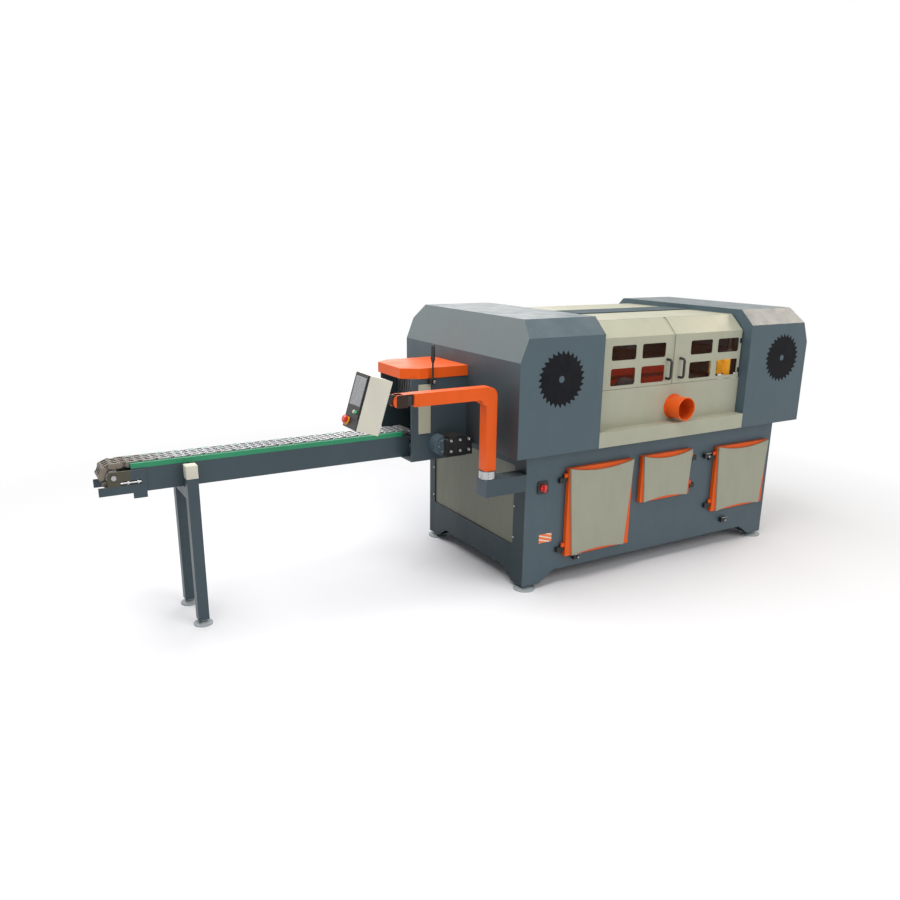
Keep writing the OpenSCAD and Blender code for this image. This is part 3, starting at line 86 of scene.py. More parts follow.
class Finish:
    """A material or a world whose nodes are added one by one, each returning its output."""

    def __init__(self, name, data=None):
        self.data = data or bpy.data.materials.new(name)
        self.data.use_nodes = True
        self.tree = self.data.node_tree
        self.shader = self.tree.nodes.get("Principled BSDF")

    def add(self, kind, settings, inputs, out=0):
        """A new node with its settings, and values or links for its sockets."""
        node = self.tree.nodes.new("ShaderNode" + kind)
        for key, value in settings.items():
            setattr(node, key, value)
        for key, value in inputs.items():
            self.feed(node.inputs[key], value)
        return Value(self, node.outputs[out])

    def feed(self, socket, value):
        if isinstance(value, Value):
            self.tree.links.new(value.socket, socket)
        elif socket.type == "RGBA":
            socket.default_value = tuple(value) + (1.0,)
        else:
            socket.default_value = value

    def coat(self, **sockets):
        """Feeds the main shader and returns the material."""
        for key, value in sockets.items():
            self.feed(self.shader.inputs[key.replace("_", " ")], value)
        return self.data

    def show(self, shader):
        """Puts another shader on the surface."""
        output = [node for node in self.tree.nodes if node.bl_idname.startswith("ShaderNodeOutput")]
        self.feed(output[0].inputs["Surface"], shader)

    def place(self, scale=(1, 1, 1)):
        """Object coordinates, scaled along each axis."""
        where = self.add("TexCoord", {}, {}, "Object")
        return self.add("Mapping", {}, {"Vector": where, "Scale": scale})

    def parts(self, vector):
        split = self.add("SeparateXYZ", {}, {"Vector": vector})
        return [Value(self, split.socket.node.outputs[k]) for k in range(3)]

    def axes(self):
        """X, Y and Z of the place, in metres."""
        return self.parts(self.add("TexCoord", {}, {}, "Object"))

    def facing(self):
        """X, Y and Z of the surface's normal."""
        return self.parts(self.add("NewGeometry", {}, {}, "Normal"))

    def upward(self):
        return self.facing()[2].clipped()

    def noise(self, where, scale, detail=2.0, rough=0.5):
        return self.add("TexNoise", {}, {"Vector": where, "Scale": scale, "Detail": detail, "Roughness": rough})

    def mix(self, a, b, share):
        """Colour b over colour a."""
        return self.add("Mix", {"data_type": "RGBA"}, {0: share, 6: a, 7: b}, 2)

    def edge(self, radius):
        """A normal that is rounded at sharp edges, and a mask of those edges."""
        bent = self.add("Bevel", {"samples": 4}, {"Radius": radius})
        flat = self.add("NewGeometry", {}, {}, "Normal")
        along = self.add("VectorMath", {"operation": "DOT_PRODUCT"}, {0: bent, 1: flat}, "Value")
        return bent, (1 - along).ramp(0.02, 0.3)

    def bump(self, height, strength, distance, normal=None):
        inputs = {"Height": height, "Strength": strength, "Distance": distance}
        if normal is not None:
            inputs["Normal"] = normal
        return self.add("Bump", {}, inputs)


def tone(colour, factor):
    """A colour made darker or lighter."""
    return tuple(min(1.0, c * factor) for c in colour)


SLATE = (0.062, 0.098, 0.119)
DEEP_SLATE = tone(SLATE, 0.72)
BEIGE = (0.385, 0.395, 0.305)
ORANGE = (0.76, 0.105, 0.01)
WORN_ORANGE = (0.7, 0.3, 0.16)
CREAM = (0.62, 0.61, 0.52)
YELLOW = (0.86, 0.4, 0.02)
BLACK = (0.012, 0.012, 0.013)
SOFT_BLACK = (0.014, 0.014, 0.015)
BARE_STEEL = (0.42, 0.43, 0.43)
DUST = (0.5, 0.47, 0.42)


def powder_coat(name, colour, rough=0.42, dust=0.25, wear=0.35, bare=BARE_STEEL, others=(), shine=0.36):
    """Baked paint on sheet steel: slight drift of tone, fine orange peel, dust on top, thin rubbed edges.
    Others gives further colours, each with a mask for where it is and how much rougher it is there."""
    f = Finish(name)
    where = f.place()
    drift = f.noise(where, scale=1.7, detail=4, rough=0.6)
    smudge = f.noise(f.place((1, 1, 0.35)), scale=9, detail=5, rough=0.65).ramp(0.42, 0.75)
    bent, edge = f.edge(radius=0.0025)
    scuff = (edge * f.noise(where, scale=38, detail=4, rough=0.7).ramp(0.46, 0.62) * wear).clipped()
    base = f.mix(tone(colour, 0.88), tone(colour, 1.1), drift)
    base = f.mix(base, tone(colour, 0.72), smudge * 0.22)
    matt = 0.0
    for other, mask, rougher in others:
        share = mask(f)
        base = f.mix(base, other, share)
        matt = share * rougher + matt
    settled = f.noise(where, scale=5, detail=6, rough=0.7).ramp(0.35, 0.8)
    base = f.mix(base, DUST, (f.upward() ** 3) * settled * dust)
    base = f.mix(base, bare, scuff)
    peel = f.noise(where, scale=330)
    return f.coat(Base_Color=base, Roughness=drift * 0.1 + smudge * 0.12 + (rough - 0.08) + matt,
                  Normal=f.bump(peel, 0.12, 0.0006, bent), Coat_Weight=0.06, Coat_Roughness=0.25,
                  Specular_IOR_Level=shine)


def machined_steel(name, colour=(0.5, 0.51, 0.52), rough=0.3, grain=(1, 30, 30)):
    """Turned or ground steel: fine lines along one axis, with patches of dark oil."""
    f = Finish(name)
    lines = f.noise(f.place(grain), scale=26, detail=3, rough=0.7)
    oil = f.noise(f.place(), scale=14, detail=5, rough=0.65).ramp(0.45, 0.7)
    bent, edge = f.edge(radius=0.0012)
    base = f.mix(tone(colour, 0.78), tone(colour, 1.12), lines)
    base = f.mix(base, (0.06, 0.05, 0.04), oil * 0.3)
    base = f.mix(base, (0.75, 0.75, 0.75), edge * 0.4)
    return f.coat(Base_Color=base, Metallic=1.0, Roughness=lines * 0.16 + oil * 0.14 + (rough - 0.08),
                  Normal=f.bump(lines, 0.12, 0.0004, bent))


def chain_steel(name):
    """Link plates polished on top by the boards, duller between and brown with old oil round the tail."""
    f = Finish(name)
    where = f.place()
    grime = f.noise(where, scale=60, detail=5, rough=0.7)
    worn = f.upward().ramp(0.6, 1.0)
    bent, edge = f.edge(radius=0.0015)
    base = f.mix((0.24, 0.25, 0.26), (0.42, 0.43, 0.44), grime)
    base = f.mix(base, (0.86, 0.89, 0.93), (worn * 0.8 + edge * 0.5).clipped())
    at_tail = (0 - f.axes()[0]).ramp(1.72, 1.97)
    patch = f.noise(where, scale=9, detail=4, rough=0.6).ramp(0.56, 0.72)
    base = f.mix(base, (0.16, 0.12, 0.075), (at_tail * 0.75 + patch * 0.15).clipped())
    return f.coat(Base_Color=base, Metallic=0.55, Roughness=grime * 0.3 + 0.24 - worn * 0.1,
                  Normal=f.bump(grime, 0.25, 0.0006, bent))


def moulded_plastic(name, colour, rough=0.42, gloss=0.0):
    """Moulded plastic with a fine spark-eroded grain and paler handled edges."""
    f = Finish(name)
    where = f.place()
    grain = f.noise(where, scale=900)
    hand = f.noise(where, scale=11, detail=4, rough=0.6)
    bent, edge = f.edge(radius=0.0015)
    base = f.mix(tone(colour, 0.85), tone(colour, 1.2), hand)
    base = f.mix(base, tuple(min(1, c + 0.08) for c in colour), edge * 0.5)
    return f.coat(Base_Color=base, Roughness=hand * 0.16 + (rough - 0.08), Normal=f.bump(grain, 0.1, 0.0003, bent),
                  Coat_Weight=gloss, Coat_Roughness=0.12)


def smoked_sheet(name):
    """Brown smoked acrylic with wiped streaks."""
    f = Finish(name)
    streak = f.noise(f.place((1, 1, 6)), scale=7, detail=5, rough=0.7).ramp(0.4, 0.8)
    base = f.mix((0.045, 0.012, 0.003), (0.07, 0.026, 0.01), streak)
    f.data.surface_render_method = "BLENDED"
    return f.coat(Base_Color=base, Roughness=streak * 0.1 + 0.06, Alpha=streak * 0.08 + 0.24, IOR=1.49,
                  Specular_IOR_Level=0.1)


def wear_rail(name):
    """Green sliding plastic, rubbed pale and dull along its top."""
    f = Finish(name)
    rub = f.noise(f.place((0.6, 40, 40)), scale=6, detail=4, rough=0.7)
    bent, edge = f.edge(radius=0.002)
    base = f.mix((0.006, 0.17, 0.075), (0.016, 0.3, 0.14), rub)
    base = f.mix(base, (0.2, 0.42, 0.31), (f.upward() ** 4) * rub.ramp(0.4, 0.8) * 0.35 + edge * 0.2)
    return f.coat(Base_Color=base, Roughness=rub * 0.2 + 0.34, Normal=f.bump(rub, 0.1, 0.0005, bent))


def belt_rubber(name):
    """Matt rubber with a woven back."""
    f = Finish(name)
    weave = f.add("TexWave", {"bands_direction": "Z"}, {"Vector": f.place(), "Scale": 60, "Distortion": 1.5}, "Fac")
    base = f.mix((0.008, 0.008, 0.008), (0.03, 0.03, 0.03), weave)
    return f.coat(Base_Color=base, Roughness=weave * 0.15 + 0.7, Normal=f.bump(weave, 0.3, 0.0006))


def painted_stripes(name):
    """Slanting pale stripes on orange, lightly scuffed."""
    f = Finish(name)
    x, y, z = f.axes()
    band = ((x * 14 + z * 44) + 40.35).fraction() > 0.68
    bent = f.edge(radius=0.0006)[0]
    scuff = f.noise(f.place(), scale=160, detail=4, rough=0.7).ramp(0.55, 0.7)
    base = f.mix((0.82, 0.17, 0.03), (0.75, 0.7, 0.6), band)
    return f.coat(Base_Color=f.mix(base, (0.2, 0.2, 0.2), scuff * 0.3), Roughness=scuff * 0.2 + 0.4, Normal=bent)


def printed_film(name, colour):
    """Thin printed film with faint fading."""
    f = Finish(name)
    fade = f.noise(f.place(), scale=14, detail=4, rough=0.6)
    return f.coat(Base_Color=f.mix(colour, tone(colour, 1.8), fade.ramp(0.4, 0.8)), Roughness=fade * 0.2 + 0.4,
                  Specular_IOR_Level=0.07)


def dark_glass(name):
    """Switched-off touch screen: deep grey with a film of dust and finger marks."""
    f = Finish(name)
    film = f.noise(f.place(), scale=45, detail=5, rough=0.7).ramp(0.42, 0.72)
    base = f.mix((0.16, 0.17, 0.18), (0.26, 0.27, 0.28), film)
    return f.coat(Base_Color=base, Roughness=film * 0.25 + 0.12, Coat_Weight=0.6, Coat_Roughness=0.05)


finishes = {
    "slate_paint": powder_coat("slate_paint", SLATE),
    "beige_paint": powder_coat("beige_paint", BEIGE, 0.46, 0.12, 0.2),
    "orange_paint": powder_coat("orange_paint", ORANGE, 0.38, 0.1, 0.3, WORN_ORANGE, shine=0.18),
    "cream_paint": powder_coat("cream_paint", CREAM, 0.45, 0.08, 0.15),
    "yellow_paint": powder_coat("yellow_paint", YELLOW, 0.42, 0.05, 0.2),
    "red_paint": powder_coat("red_paint", (0.5, 0.03, 0.015), 0.4, 0.05, 0.2),
    "blue_paint": powder_coat("blue_paint", (0.04, 0.07, 0.13), 0.45, 0.3, 0.3),
    "black_paint": powder_coat("black_paint", BLACK, 0.4, 0.08, 0.25),
    "bright_steel": machined_steel("bright_steel"),
    "green_rail": wear_rail("green_rail"),
    "black_plastic": moulded_plastic("black_plastic", BLACK),
    "red_plastic": moulded_plastic("red_plastic", (0.62, 0.018, 0.012), 0.3, 0.4),
    "smoked_pane": smoked_sheet("smoked_pane"),
    "belt_rubber": belt_rubber("belt_rubber"),
}
for part in frame["record"]["subparts"]:
    solid = nodes[part["node"]]
    solid.data.materials.clear()
    solid.data.materials.append(finishes[part["material_slot"]])


def dress(finish, *names):
    """Gives solids a finish of their own in place of their slot's."""
    for name in names:
        nodes[name].data.materials[0] = finish


# The control box leans back by this angle about its pin on the arm, here in metres.
LEAN = math.radians(17.5)
PIN = Vector((-0.767175, -0.4725, 1.1605))


def on_lug(f):
    """The part of the control box nearer to the arm than its back wall."""
    back_wall = 0.0875
    x, y, z = f.axes()
    return ((PIN.x - x) * math.cos(LEAN) + (z - PIN.z) * math.sin(LEAN)) < back_wall


def on_hub(f):
    """The round hub beside the gearbox's housing."""
    housing_side = -0.3235
    return f.axes()[0] < housing_side


def inside_roof(f):
    """The roof sheet's faces in the saw chamber, and the strip along its top."""
    rear_side, strip_foot = 0.5838, 1.5005
    x, y, z = f.axes()
    outer = ((f.upward() > 0.3) + (y > rear_side)).clipped()
    return 1 - outer * (z < strip_foot)


def front_block(f):
    """The front end of a pressure carriage's yoke, below its top, which keeps the yellow paint; the rest is painted
    near black as shade.
    """
    block_back, block_top, right_end = -0.0975, 1.2, 1.873
    x, y, z = f.axes()
    return (y < block_back) * (z < block_top) * (x < right_end)


def shaded_hood_top(f):
    """The upper part of the blade hood, painted near black as shade."""
    return f.axes()[2] > 1.17


def hood_shadow_band(f):
    """A painted shadow line along the middle of the blade hood's front."""
    z = f.axes()[2]
    return (z > 1.079) * (z < 1.104)


def shaded_end_wall(f):
    """The lower part of the infeed housing's end wall, with painted shade growing darker towards the bottom."""
    return (f.facing()[0] < -0.9) * (1 - f.axes()[2].ramp(1.05, 1.4)) * 0.85


def end_bevel_highlight(f):
    """The infeed housing's bevel over its end wall, painted paler as a highlight."""
    x, y, z = f.facing()
    return (x < -0.4) * (z > 0.3)


def fork_side(f):
    """The sides of the arm's fork, but for its rounded end."""
    root, tip = -0.691, -0.782
    x, y, z = f.axes()
    return (x < root) * (x > tip) * (f.facing()[2] < 0.5)


def oily_cheek(f):
    """The tail's cheeks beside the idler, brown with old oil."""
    cheek_root, cheek_foot = -1.95, 0.772
    x, y, z = f.axes()
    return (x < cheek_root) * (z > cheek_foot)


dress(powder_coat("control_box_paint", CREAM, 0.45, 0.08, 0.15, others=[(SOFT_BLACK, on_lug, 0.0)]), "control_box")
dress(powder_coat("gearbox_paint", BLACK, 0.4, 0.08, 0.25, others=[(SLATE, on_hub, 0.0)]), "feed_gearbox")
dress(powder_coat("roof_paint", BEIGE, 0.5, 0.12, 0.2, others=[(tone(SLATE, 0.8), inside_roof, 0.45)], shine=0.2),
      "roof_cover")
# The carriages are painted near black as shade, but for the yellow front of the yoke.
dress(powder_coat("carriage_paint_and_painted_shade", SOFT_BLACK, 0.45, 0.1, 0.2, others=[(YELLOW, front_block, 0.0)]),
      "infeed_pressure_carriage", "outfeed_pressure_carriage")
# The guide columns get a near black steel as painted shade, so they stay dark inside the chamber.
dress(machined_steel("column_steel_painted_shade", (0.035, 0.03, 0.027), 0.6, (30, 30, 1)), "guide_columns")
# The blade hood gets painted shade on its top and a painted shadow line across its front.
dress(powder_coat("hood_paint_and_painted_shade", (0.46, 0.03, 0.012), 0.4, 0.05, 0.2, shine=0.2,
                  others=[((0.014, 0.012, 0.012), shaded_hood_top, 0.3), ((0.13, 0.014, 0.007), hood_shadow_band, 0.1)]),
      "blade_hood")
dress(chain_steel("link_steel"), "conveyor_chain")
dress(powder_coat("pad_zinc", (0.36, 0.41, 0.43), 0.5, 0.1, 0.2), "levelling_feet")
dress(powder_coat("dark_slate_paint", DEEP_SLATE, shine=0.3),
      "conveyor_beam", "conveyor_legs", "infeed_trough", "arm_bracket")
# The end panels are painted darker than their beige as shade.
dress(powder_coat("end_panel_painted_shade", (0.135, 0.14, 0.104), 0.5, 0.1, 0.2), "base_end_panels")
dress(powder_coat("cover_paint", tone(BEIGE, 0.84), 0.46, 0.12, 0.2),
      "panel_left_cover", "panel_middle_cover", "panel_right_cover")
# The end frames are the slate paint darkened as painted shade.
dress(powder_coat("end_frame_painted_shade", tone(SLATE, 0.42), shine=0.15), "base_end_frames")
# The infeed housing's end wall gets painted shade low down, and the bevel over it a paler painted highlight.
dress(powder_coat("housing_paint_and_painted_light", SLATE,
                  others=[((0.026, 0.026, 0.029), shaded_end_wall, 0.1), ((0.118, 0.148, 0.157), end_bevel_highlight, 0.0)]),
      "infeed_housing")
dress(powder_coat("arm_paint", ORANGE, 0.38, 0.1, 0.3, WORN_ORANGE, shine=0.18,
                  others=[((0.03, 0.018, 0.012), fork_side, 0.1)]), "swing_arm")
dress(powder_coat("tail_paint", DEEP_SLATE, others=[((0.07, 0.068, 0.045), oily_cheek, 0.0)], shine=0.3),
      "tail_plates")


MM = 0.001
# The cabinet's front left corner in the frame, in millimetres.
SHIFT = Vector((-7.175, -522.5, 0.0))
SMOOTH_ANGLE = math.radians(35)
TURNS = {"Z": Matrix.Identity(4),
         "Y": Matrix.Rotation(-math.pi / 2, 4, "X"), "-Y": Matrix.Rotation(math.pi / 2, 4, "X"),
         "X": Matrix.Rotation(math.pi / 2, 4, "Y"), "-X": Matrix.Rotation(-math.pi / 2, 4, "Y")}


def spot(x, y, z):
    """A place on the machine in millimetres from the cabinet's front left corner, in the frame's metres."""
    return (Vector((x, y, z)) + SHIFT) * MM


def on_top(centre, normal):
    """Test for the faces that look along Z."""
    return normal.z > 0.9


def pick(piece, test):
    """Selects the faces whose middle and normal pass the test, and leaves the piece in edit mode."""
    bpy.ops.object.mode_set(mode="EDIT")
    bpy.ops.mesh.select_mode(type="FACE")
    bpy.ops.mesh.select_all(action="DESELECT")
    bpy.ops.object.mode_set(mode="OBJECT")
    for face in piece.data.polygons:
        face.select = bool(test(face.center, face.normal))
    bpy.ops.object.mode_set(mode="EDIT")


def block(size, centre=(0, 0, 0)):
    """A cube at its size and place, in millimetres about the given centre."""
    bpy.ops.object.select_all(action="DESELECT")
    bpy.ops.mesh.primitive_cube_add(size=1)
    piece = bpy.context.object
    piece.scale = Vector(size) * MM
    piece.location = Vector(centre) * MM
    bpy.ops.object.transform_apply(location=True, rotation=True, scale=True)
    return piece


def disc(radius, depth, sides=32):
    """A short round bar along Z, standing on the origin, in millimetres."""
    bpy.ops.object.select_all(action="DESELECT")
    bpy.ops.mesh.primitive_cylinder_add(vertices=sides, radius=radius * MM, depth=depth * MM,
                                        location=(0, 0, depth / 2 * MM))
    bpy.ops.object.transform_apply(location=True, rotation=True, scale=True)
    return bpy.context.object


def inset_in(piece, test, thickness, depth):
    """Insets the faces that pass the test and moves the inner ones in or out, in millimetres."""
    pick(piece, test)
    bpy.ops.mesh.inset(thickness=thickness * MM, depth=depth * MM, use_even_offset=True)
    bpy.ops.object.mode_set(mode="OBJECT")


def rounded_edges(piece, width, angle=35):
    """Rounds the edges that are sharper than an angle in degrees."""
    edge = piece.modifiers.new("edge", "BEVEL")
    edge.width = width * MM
    edge.segments = 2
    edge.limit_method = "ANGLE"
    edge.angle_limit = math.radians(angle)
    bpy.context.view_layer.objects.active = piece
    bpy.ops.object.modifier_apply(modifier="edge")


def put(piece, place, axis="Z"):
    """Turns a piece that points up so that it points along an axis, and moves it to its place."""
    piece.data.transform(Matrix.Translation(place) @ TURNS[axis])


def copies(piece, places, axis="Z"):
    """Copies of a piece at each place, joined to one."""
    made = []
    for place in places:
        twin = piece.copy()
        twin.data = piece.data.copy()
        bpy.context.collection.objects.link(twin)
        put(twin, place, axis)
        made.append(twin)
    bpy.data.objects.remove(piece)
    bpy.ops.object.select_all(action="DESELECT")
    for twin in made:
        twin.select_set(True)
    bpy.context.view_layer.objects.active = made[0]
    bpy.ops.object.join()
    return bpy.context.object


def fitted(piece, name, body, slot, finish=None):
    """Last steps on a piece: name, shading, finish (its slot's, unless one is given) and the body it rides on."""
    piece.name = name
    bpy.ops.object.select_all(action="DESELECT")
    piece.select_set(True)
    bpy.context.view_layer.objects.active = piece
    bpy.ops.object.shade_smooth_by_angle(angle=SMOOTH_ANGLE)
    piece.data.materials.clear()
    piece.data.materials.append(finish or finishes[slot])
    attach(piece, body)


def screw_head(radius, height):
    """Button head with a socket."""
    piece = disc(radius, height, sides=18)
    inset_in(piece, on_top, radius * 0.35, 0)
    reach = (radius * 0.3 + height) * MM
    inset_in(piece, lambda c, n: n.z > 0.9 and c.length < reach and abs(c.x) < 1e-5, radius * 0.15, -height * 0.5)
    rounded_edges(piece, radius * 0.22, angle=50)
    return piece


def hex_nut(radius, height):
    """Plain nut with rounded corners."""
    piece = disc(radius, height, sides=6)
    inset_in(piece, on_top, radius * 0.25, 0)
    rounded_edges(piece, radius * 0.1, angle=50)
    return piece


def screws(name, radius, height, places, axis):
    """Bright button heads at the given places, as one piece of the machine."""
    fitted(copies(screw_head(radius, height), places, axis), name, "machine", "bright_steel")


# Left side and middle height of the feed gearbox's housing, in millimetres.
GEARBOX_LEFT, GEARBOX_HEIGHT = -316, 816.35


def in_middle(centre, normal):
    """Test for the face at the middle of a disc's top."""
    return on_top(centre, normal) and centre.length < 12 * MM


def toothed_disc(name, centre, radius, finish, teeth=28):
    """Flat dark disc with raked teeth and a bore, on a housing's front."""
    tooth = (1.0, 0.86, 0.88, 0.94)
    bore, thickness = radius * 0.12, 0.8
    bpy.ops.object.select_all(action="DESELECT")
    bpy.ops.mesh.primitive_circle_add(vertices=len(tooth) * teeth, radius=radius * MM, fill_type="TRIFAN")
    piece = bpy.context.object
    bpy.ops.object.mode_set(mode="EDIT")
    bpy.ops.mesh.select_mode(type="VERT")
    for step, share in enumerate(tooth):
        bpy.ops.mesh.select_all(action="DESELECT")
        bpy.ops.object.mode_set(mode="OBJECT")
        rim = [corner for corner in piece.data.vertices if corner.co.length > MM]
        for corner in rim[step::len(tooth)]:
            corner.select = True
        bpy.ops.object.mode_set(mode="EDIT")
        bpy.ops.transform.resize(value=(share, share, 1))
    bpy.ops.mesh.select_all(action="DESELECT")
    bpy.ops.object.mode_set(mode="OBJECT")
    for corner in piece.data.vertices:
        corner.select = corner.co.length < MM
    bpy.ops.object.mode_set(mode="EDIT")
    bpy.ops.mesh.bevel(offset=bore * MM, affect="VERTICES")
    bpy.ops.object.mode_set(mode="OBJECT")
    pick(piece, lambda c, n: c.length < MM)
    bpy.ops.mesh.delete(type="FACE")
    bpy.ops.mesh.select_all(action="SELECT")
    bpy.ops.mesh.extrude_region_move(TRANSFORM_OT_translate={"value": (0, 0, thickness * MM)})
    bpy.ops.mesh.select_all(action="SELECT")
    bpy.ops.mesh.normals_make_consistent(inside=False)
    bpy.ops.object.mode_set(mode="OBJECT")
    put(piece, centre, "-Y")
    fitted(piece, name, "machine", "black_plastic", finish)


def leg_caps():
    """Pale caps slipped over the tops of the conveyor's legs."""
    along, middle, half_apart, foot = -1673, 625, 145.5, 784.5
    piece = block((58, 58, 68), (0, 0, 34))
    inset_in(piece, on_top, 5, -1.5)
    rounded_edges(piece, 2)
    piece = copies(piece, [spot(along, middle + side * half_apart, foot) for side in (-1, 1)])
    fitted(piece, "leg_caps", "machine", "cream_paint")


def gearbox_bolts():
    """Bright cap screws on the feed gearbox, in two rows of three."""
    width, rows_apart, front = 172, 61, 332
    places = [spot(GEARBOX_LEFT + width * (2 * i + 1) / 6, front, GEARBOX_HEIGHT + (j - 0.5) * rows_apart)
              for i in range(3) for j in range(2)]
    screws("gearbox_bolts", 8.5, 8, places, "-Y")


def gearbox_cap():
    """Round cover over the worm shaft's end, with a ring of small screws."""
    back, front, ring = 360.7, 350.8, 36
    piece = disc(40, 10)
    inset_in(piece, on_top, 6, 0)
    inset_in(piece, in_middle, 3, -3)
    rounded_edges(piece, 1.5)
    put(piece, spot(GEARBOX_LEFT, back, GEARBOX_HEIGHT), "-Y")
    fitted(piece, "gearbox_cap", "machine", "slate_paint")
    places = [spot(GEARBOX_LEFT + ring * math.cos(a), front, GEARBOX_HEIGHT + ring * math.sin(a))
              for a in (math.pi * k / 3 for k in range(6))]
    screws("gearbox_cap_screws", 3.5, 3.5, places, "-Y")


def pivot_ring():
    """Bright ring round the arm's collar, with two clamp screws."""
    height = 718
    bpy.ops.object.select_all(action="DESELECT")
    bpy.ops.mesh.primitive_cylinder_add(vertices=48, radius=41.2 * MM, depth=40 * MM, end_fill_type="NOTHING")
    piece = bpy.context.object
    bpy.ops.object.mode_set(mode="EDIT")
    bpy.ops.mesh.select_all(action="SELECT")
    bpy.ops.mesh.solidify(thickness=-3.5 * MM)
    bpy.ops.mesh.normals_make_consistent(inside=False)
    bpy.ops.object.mode_set(mode="OBJECT")
    rounded_edges(piece, 0.8)
    put(piece, spot(-225, 50, height))
    fitted(piece, "pivot_ring", "machine", "bright_steel")
    screws("pivot_ring_screws", 5, 5, [spot(-240, 7, height + rise) for rise in (-10, 10)], "-Y")


def on_box(piece):
    """Moves a piece from the control box's own frame, X out of its face and Z up along it, to the machine."""
    # This frame is left-handed, so the faces are turned round again.
    out = Vector((-math.cos(LEAN), 0, math.sin(LEAN)))
    up = Vector((math.sin(LEAN), 0, math.cos(LEAN)))
    turn = Matrix((out, Vector((0, 1, 0)), up)).transposed()
    piece.data.transform(Matrix.Translation(PIN) @ turn.to_4x4())
    piece.data.flip_normals()
    return piece


def control_panel():
    """Screen in its recess, a row of push buttons under it and the stop button's yellow ring.
    Their places are in the control box's own frame."""
    screen = block((1.4, 120, 140), (214.7, 0, 2))
    inset_in(screen, lambda c, n: n.x > 0.9, 5, -0.4)
    rounded_edges(screen, 0.3)
    fitted(on_box(screen), "control_screen", "control", "black_plastic", dark_glass("screen_glass"))
    for name, y, finish in (
            ("start_key", -44, moulded_plastic("green_key", (0.02, 0.3, 0.06), 0.35, 0.2)),
            ("hold_key", -20, moulded_plastic("white_key", (0.6, 0.6, 0.57), 0.4)),
            ("reverse_key", 4, moulded_plastic("black_key", (0.03, 0.03, 0.03), 0.4))):
        key = disc(9, 7, sides=28)
        inset_in(key, on_top, 2, -1)
        rounded_edges(key, 0.8)
        put(key, Vector((216, y, -96)) * MM, "X")
        fitted(on_box(key), name, "control", "black_plastic", finish)
    ring = disc(29, 3.5, sides=40)
    inset_in(ring, on_top, 3, 0)
    inset_in(ring, in_middle, 13, -1)
    rounded_edges(ring, 0.5)
    pick(ring, lambda c, n: c.xy.length < 12.9 * MM and abs(n.z) > 0.9)
    bpy.ops.mesh.delete(type="FACE")
    bpy.ops.object.mode_set(mode="OBJECT")
    put(ring, Vector((212.2, 45, -145)) * MM, "X")
    fitted(on_box(ring), "stop_ring", "control", "yellow_paint")


def striped_plate():
    """Small plate with slanting stripes beside the left panel."""
    piece = block((88, 1.6, 52))
    inset_in(piece, lambda c, n: n.y < -0.9, 2, -0.3)
    rounded_edges(piece, 0.4)
    put(piece, spot(145, -0.9, 302))
    fitted(piece, "striped_plate", "machine", "orange_paint", painted_stripes("striped_paint"))


def switch_brackets():
    """Bright bracket over each interlock switch on the cabinet's front, and a round key below it."""
    switches = ((363, 172), (1583, 197), (1373, 654))
    piece = block((50, 34, 3), (0, -17, 1.5))
    inset_in(piece, lambda c, n: n.z < -0.9, 3, 0)
    rounded_edges(piece, 1)
    piece = copies(piece, [spot(x, -0.3, z + 0.4) for x, z in switches])
    fitted(piece, "switch_brackets", "machine", "bright_steel")
    key = disc(6, 9, sides=20)
    inset_in(key, on_top, 2, -2)
    rounded_edges(key, 0.6)
    key = copies(key, [spot(x + 6, -26, z - 18) for x, z in switches], "-Y")
    fitted(key, "switch_keys", "machine", "bright_steel")


def tension_screws():
    """Bright tension screws with lock nuts in the slots of the tail's cheeks."""
    height = 784
    for name, y in (("near", 536), ("far", 714)):
        bar = disc(4.8, 95, sides=20)
        inset_in(bar, on_top, 1.5, 0)
        put(bar, spot(-1991, y, height), "X")
        fitted(bar, name + "_tension_screw", "machine", "bright_steel")
        nuts = copies(hex_nut(9, 10), [spot(x, y, height) for x in (-1961, -1915)], "X")
        fitted(nuts, name + "_tension_nuts", "machine", "bright_steel")


def arm_gland():
    """Black cable block under the fork's strap, at the end of the arm's tube."""
    piece = block((29, 42, 44), (-14.5, 0, 0))
    inset_in(piece, lambda c, n: n.y < -0.9, 6, 1.5)
    inset_in(piece, lambda c, n: n.z < -0.9, 8, 6)
    rounded_edges(piece, 1.5)
    put(piece, spot(-680.5, 50, 1160))
    fitted(piece, "arm_gland", "arm", "black_plastic")


def lever_nut():
    """Nut on the pivot of the kickback guard's lever."""
    piece = hex_nut(10, 6)
    put(piece, spot(-364, 384.5, 1174), "-Y")
    fitted(piece, "lever_nut", "kickback_guard", "bright_steel")


def seam_screws():
    """Button heads along the sheets' laps at the rear and the ends."""
    screws("rear_screws", 7, 4, [spot(520 + 160 * k, 1110.2, 850) for k in range(7)], "Y")
    for name, x, axis in (("left_end_screws", -0.2, "-X"), ("right_end_screws", 1980.2, "X")):
        screws(name, 6, 3.5, [spot(x, y, z) for y in (105, 1032) for z in (300, 485, 670)], axis)


def seen_ray(f):
    """1 for what the camera sees, also by reflection or through glass."""
    rays = [f.add("LightPath", {}, {}, "Is %s Ray" % kind) for kind in ("Camera", "Glossy", "Transmission")]
    return (rays[0] + rays[1] + rays[2]).clipped()


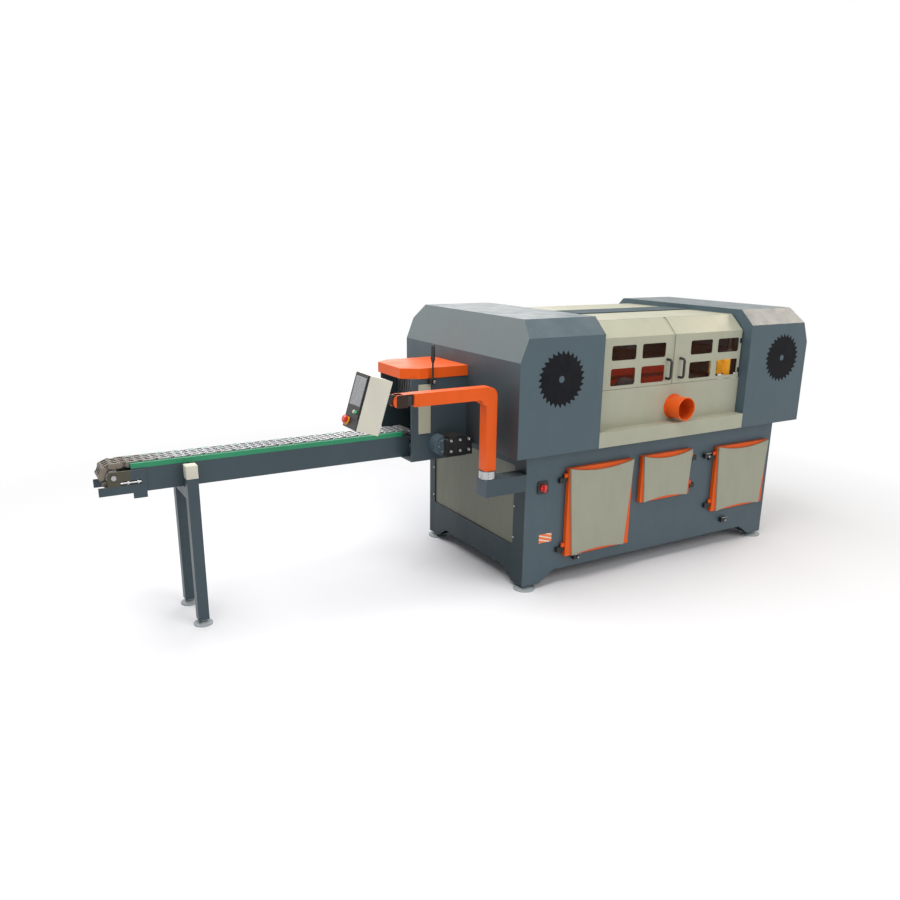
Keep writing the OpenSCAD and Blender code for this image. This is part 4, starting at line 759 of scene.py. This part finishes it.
def studio_floor():
    """White floor that keeps the machine's shadow and goes over to plain white farther out."""
    shadow_end, white_start = 2.0, 4.2
    bpy.ops.mesh.primitive_plane_add(size=60, location=(0, 0, -0.0005))
    floor = bpy.context.object
    floor.name = "studio_floor"
    f = Finish("floor_white")
    cast = f.noise(f.place(), scale=0.7)
    f.coat(Base_Color=f.mix((0.82, 0.845, 0.89), (0.85, 0.875, 0.92), cast), Roughness=0.9)
    x, y, z = f.axes()
    far = ((x * x + y * y) ** 0.5).ramp(shadow_end, white_start)
    white = f.add("Emission", {}, {"Color": (1, 1, 1), "Strength": 1.0})
    f.show(f.add("MixShader", {}, {0: seen_ray(f) * far, 1: Value(f, f.shader.outputs[0]), 2: white}))
    floor.data.materials.append(f.data)


def pale_room():
    """World that lights softly and shows as white."""
    room = Finish("pale_room", bpy.data.worlds.new("pale_room"))
    bpy.context.scene.world = room.data
    glow = room.add("Background", {}, {"Color": (0.95, 0.97, 1.0), "Strength": 0.3})
    white = room.add("Background", {}, {"Color": (1, 1, 1), "Strength": 1.0})
    room.show(room.add("MixShader", {}, {0: seen_ray(room), 1: glow, 2: white}))


def lamps():
    """Soft boxes round the machine, and two small lamps inside it."""
    for name, stand, aim, size, power, blue in (
            ("soft_box_front", (1.4, -5.4, 3.6), (0.6, 0, 0.7), (4.0, 3.0), 120, 0.91),
            ("soft_box_top", (-1.7, 0.2, 5.2), (-0.2, 0.2, 0.6), (6.0, 3.5), 350, 0.91),
            ("soft_box_back", (2.5, 5.0, 3.6), (0.5, 0, 0.8), (3.5, 3.5), 45, 0.91),
            ("soft_box_right", (3.45, -0.6, 2.75), (1.7, -0.45, 1.45), (1.2, 0.9), 26, 0.66),
            ("chamber_lamp", (0.9, -0.44, 1.42), (0.95, 0.2, 1.0), (0.7, 0.06), 1.5, 0.91),
            ("outfeed_lamp", (1.62, -0.44, 1.3), (1.84, -0.1, 1.05), (0.2, 0.06), 2, 0.91)):
        bpy.ops.object.light_add(type="AREA", location=stand)
        lamp = bpy.context.object
        lamp.name = name
        lamp.data.shape = "RECTANGLE"
        lamp.data.size, lamp.data.size_y = size
        lamp.data.energy = power
        lamp.data.color = (1.0, (1.0 + blue) / 2, blue)
        lamp.rotation_euler = (Vector(aim) - Vector(stand)).to_track_quat("-Z", "Y").to_euler()


def photo_camera():
    """Camera fitted to the photograph's view."""
    yaw, pitch, roll = math.radians(30.6), math.radians(16.6), math.radians(0.7)
    bpy.ops.object.camera_add(location=(-2.5196, -3.9863, 1.9179))
    camera = bpy.context.object
    camera.name = "photo_camera"
    look = Vector((math.sin(yaw) * math.cos(pitch), math.cos(yaw) * math.cos(pitch), -math.sin(pitch)))
    camera.rotation_euler = (look.to_track_quat("-Z", "Y").to_matrix() @ Matrix.Rotation(roll, 3, "Z")).to_euler()
    camera.data.sensor_width = 36
    camera.data.lens = 32.52
    camera.data.shift_x = -0.0037
    camera.data.shift_y = 0.0358
    camera.data.clip_end = 200
    bpy.context.scene.camera = camera


disc_print = printed_film("decal_black", (0.008, 0.0085, 0.0105))
toothed_disc("infeed_disc", spot(142, -85.1, 1220), 153, disc_print)
toothed_disc("outfeed_disc", spot(1880, -85.1, 1230), 150, disc_print)
leg_caps()
gearbox_bolts()
gearbox_cap()
pivot_ring()
control_panel()
striped_plate()
switch_brackets()
tension_screws()
arm_gland()
lever_nut()
seam_screws()
studio_floor()
pale_room()
lamps()
photo_camera()
bpy.context.scene.view_settings.view_transform = "Standard"
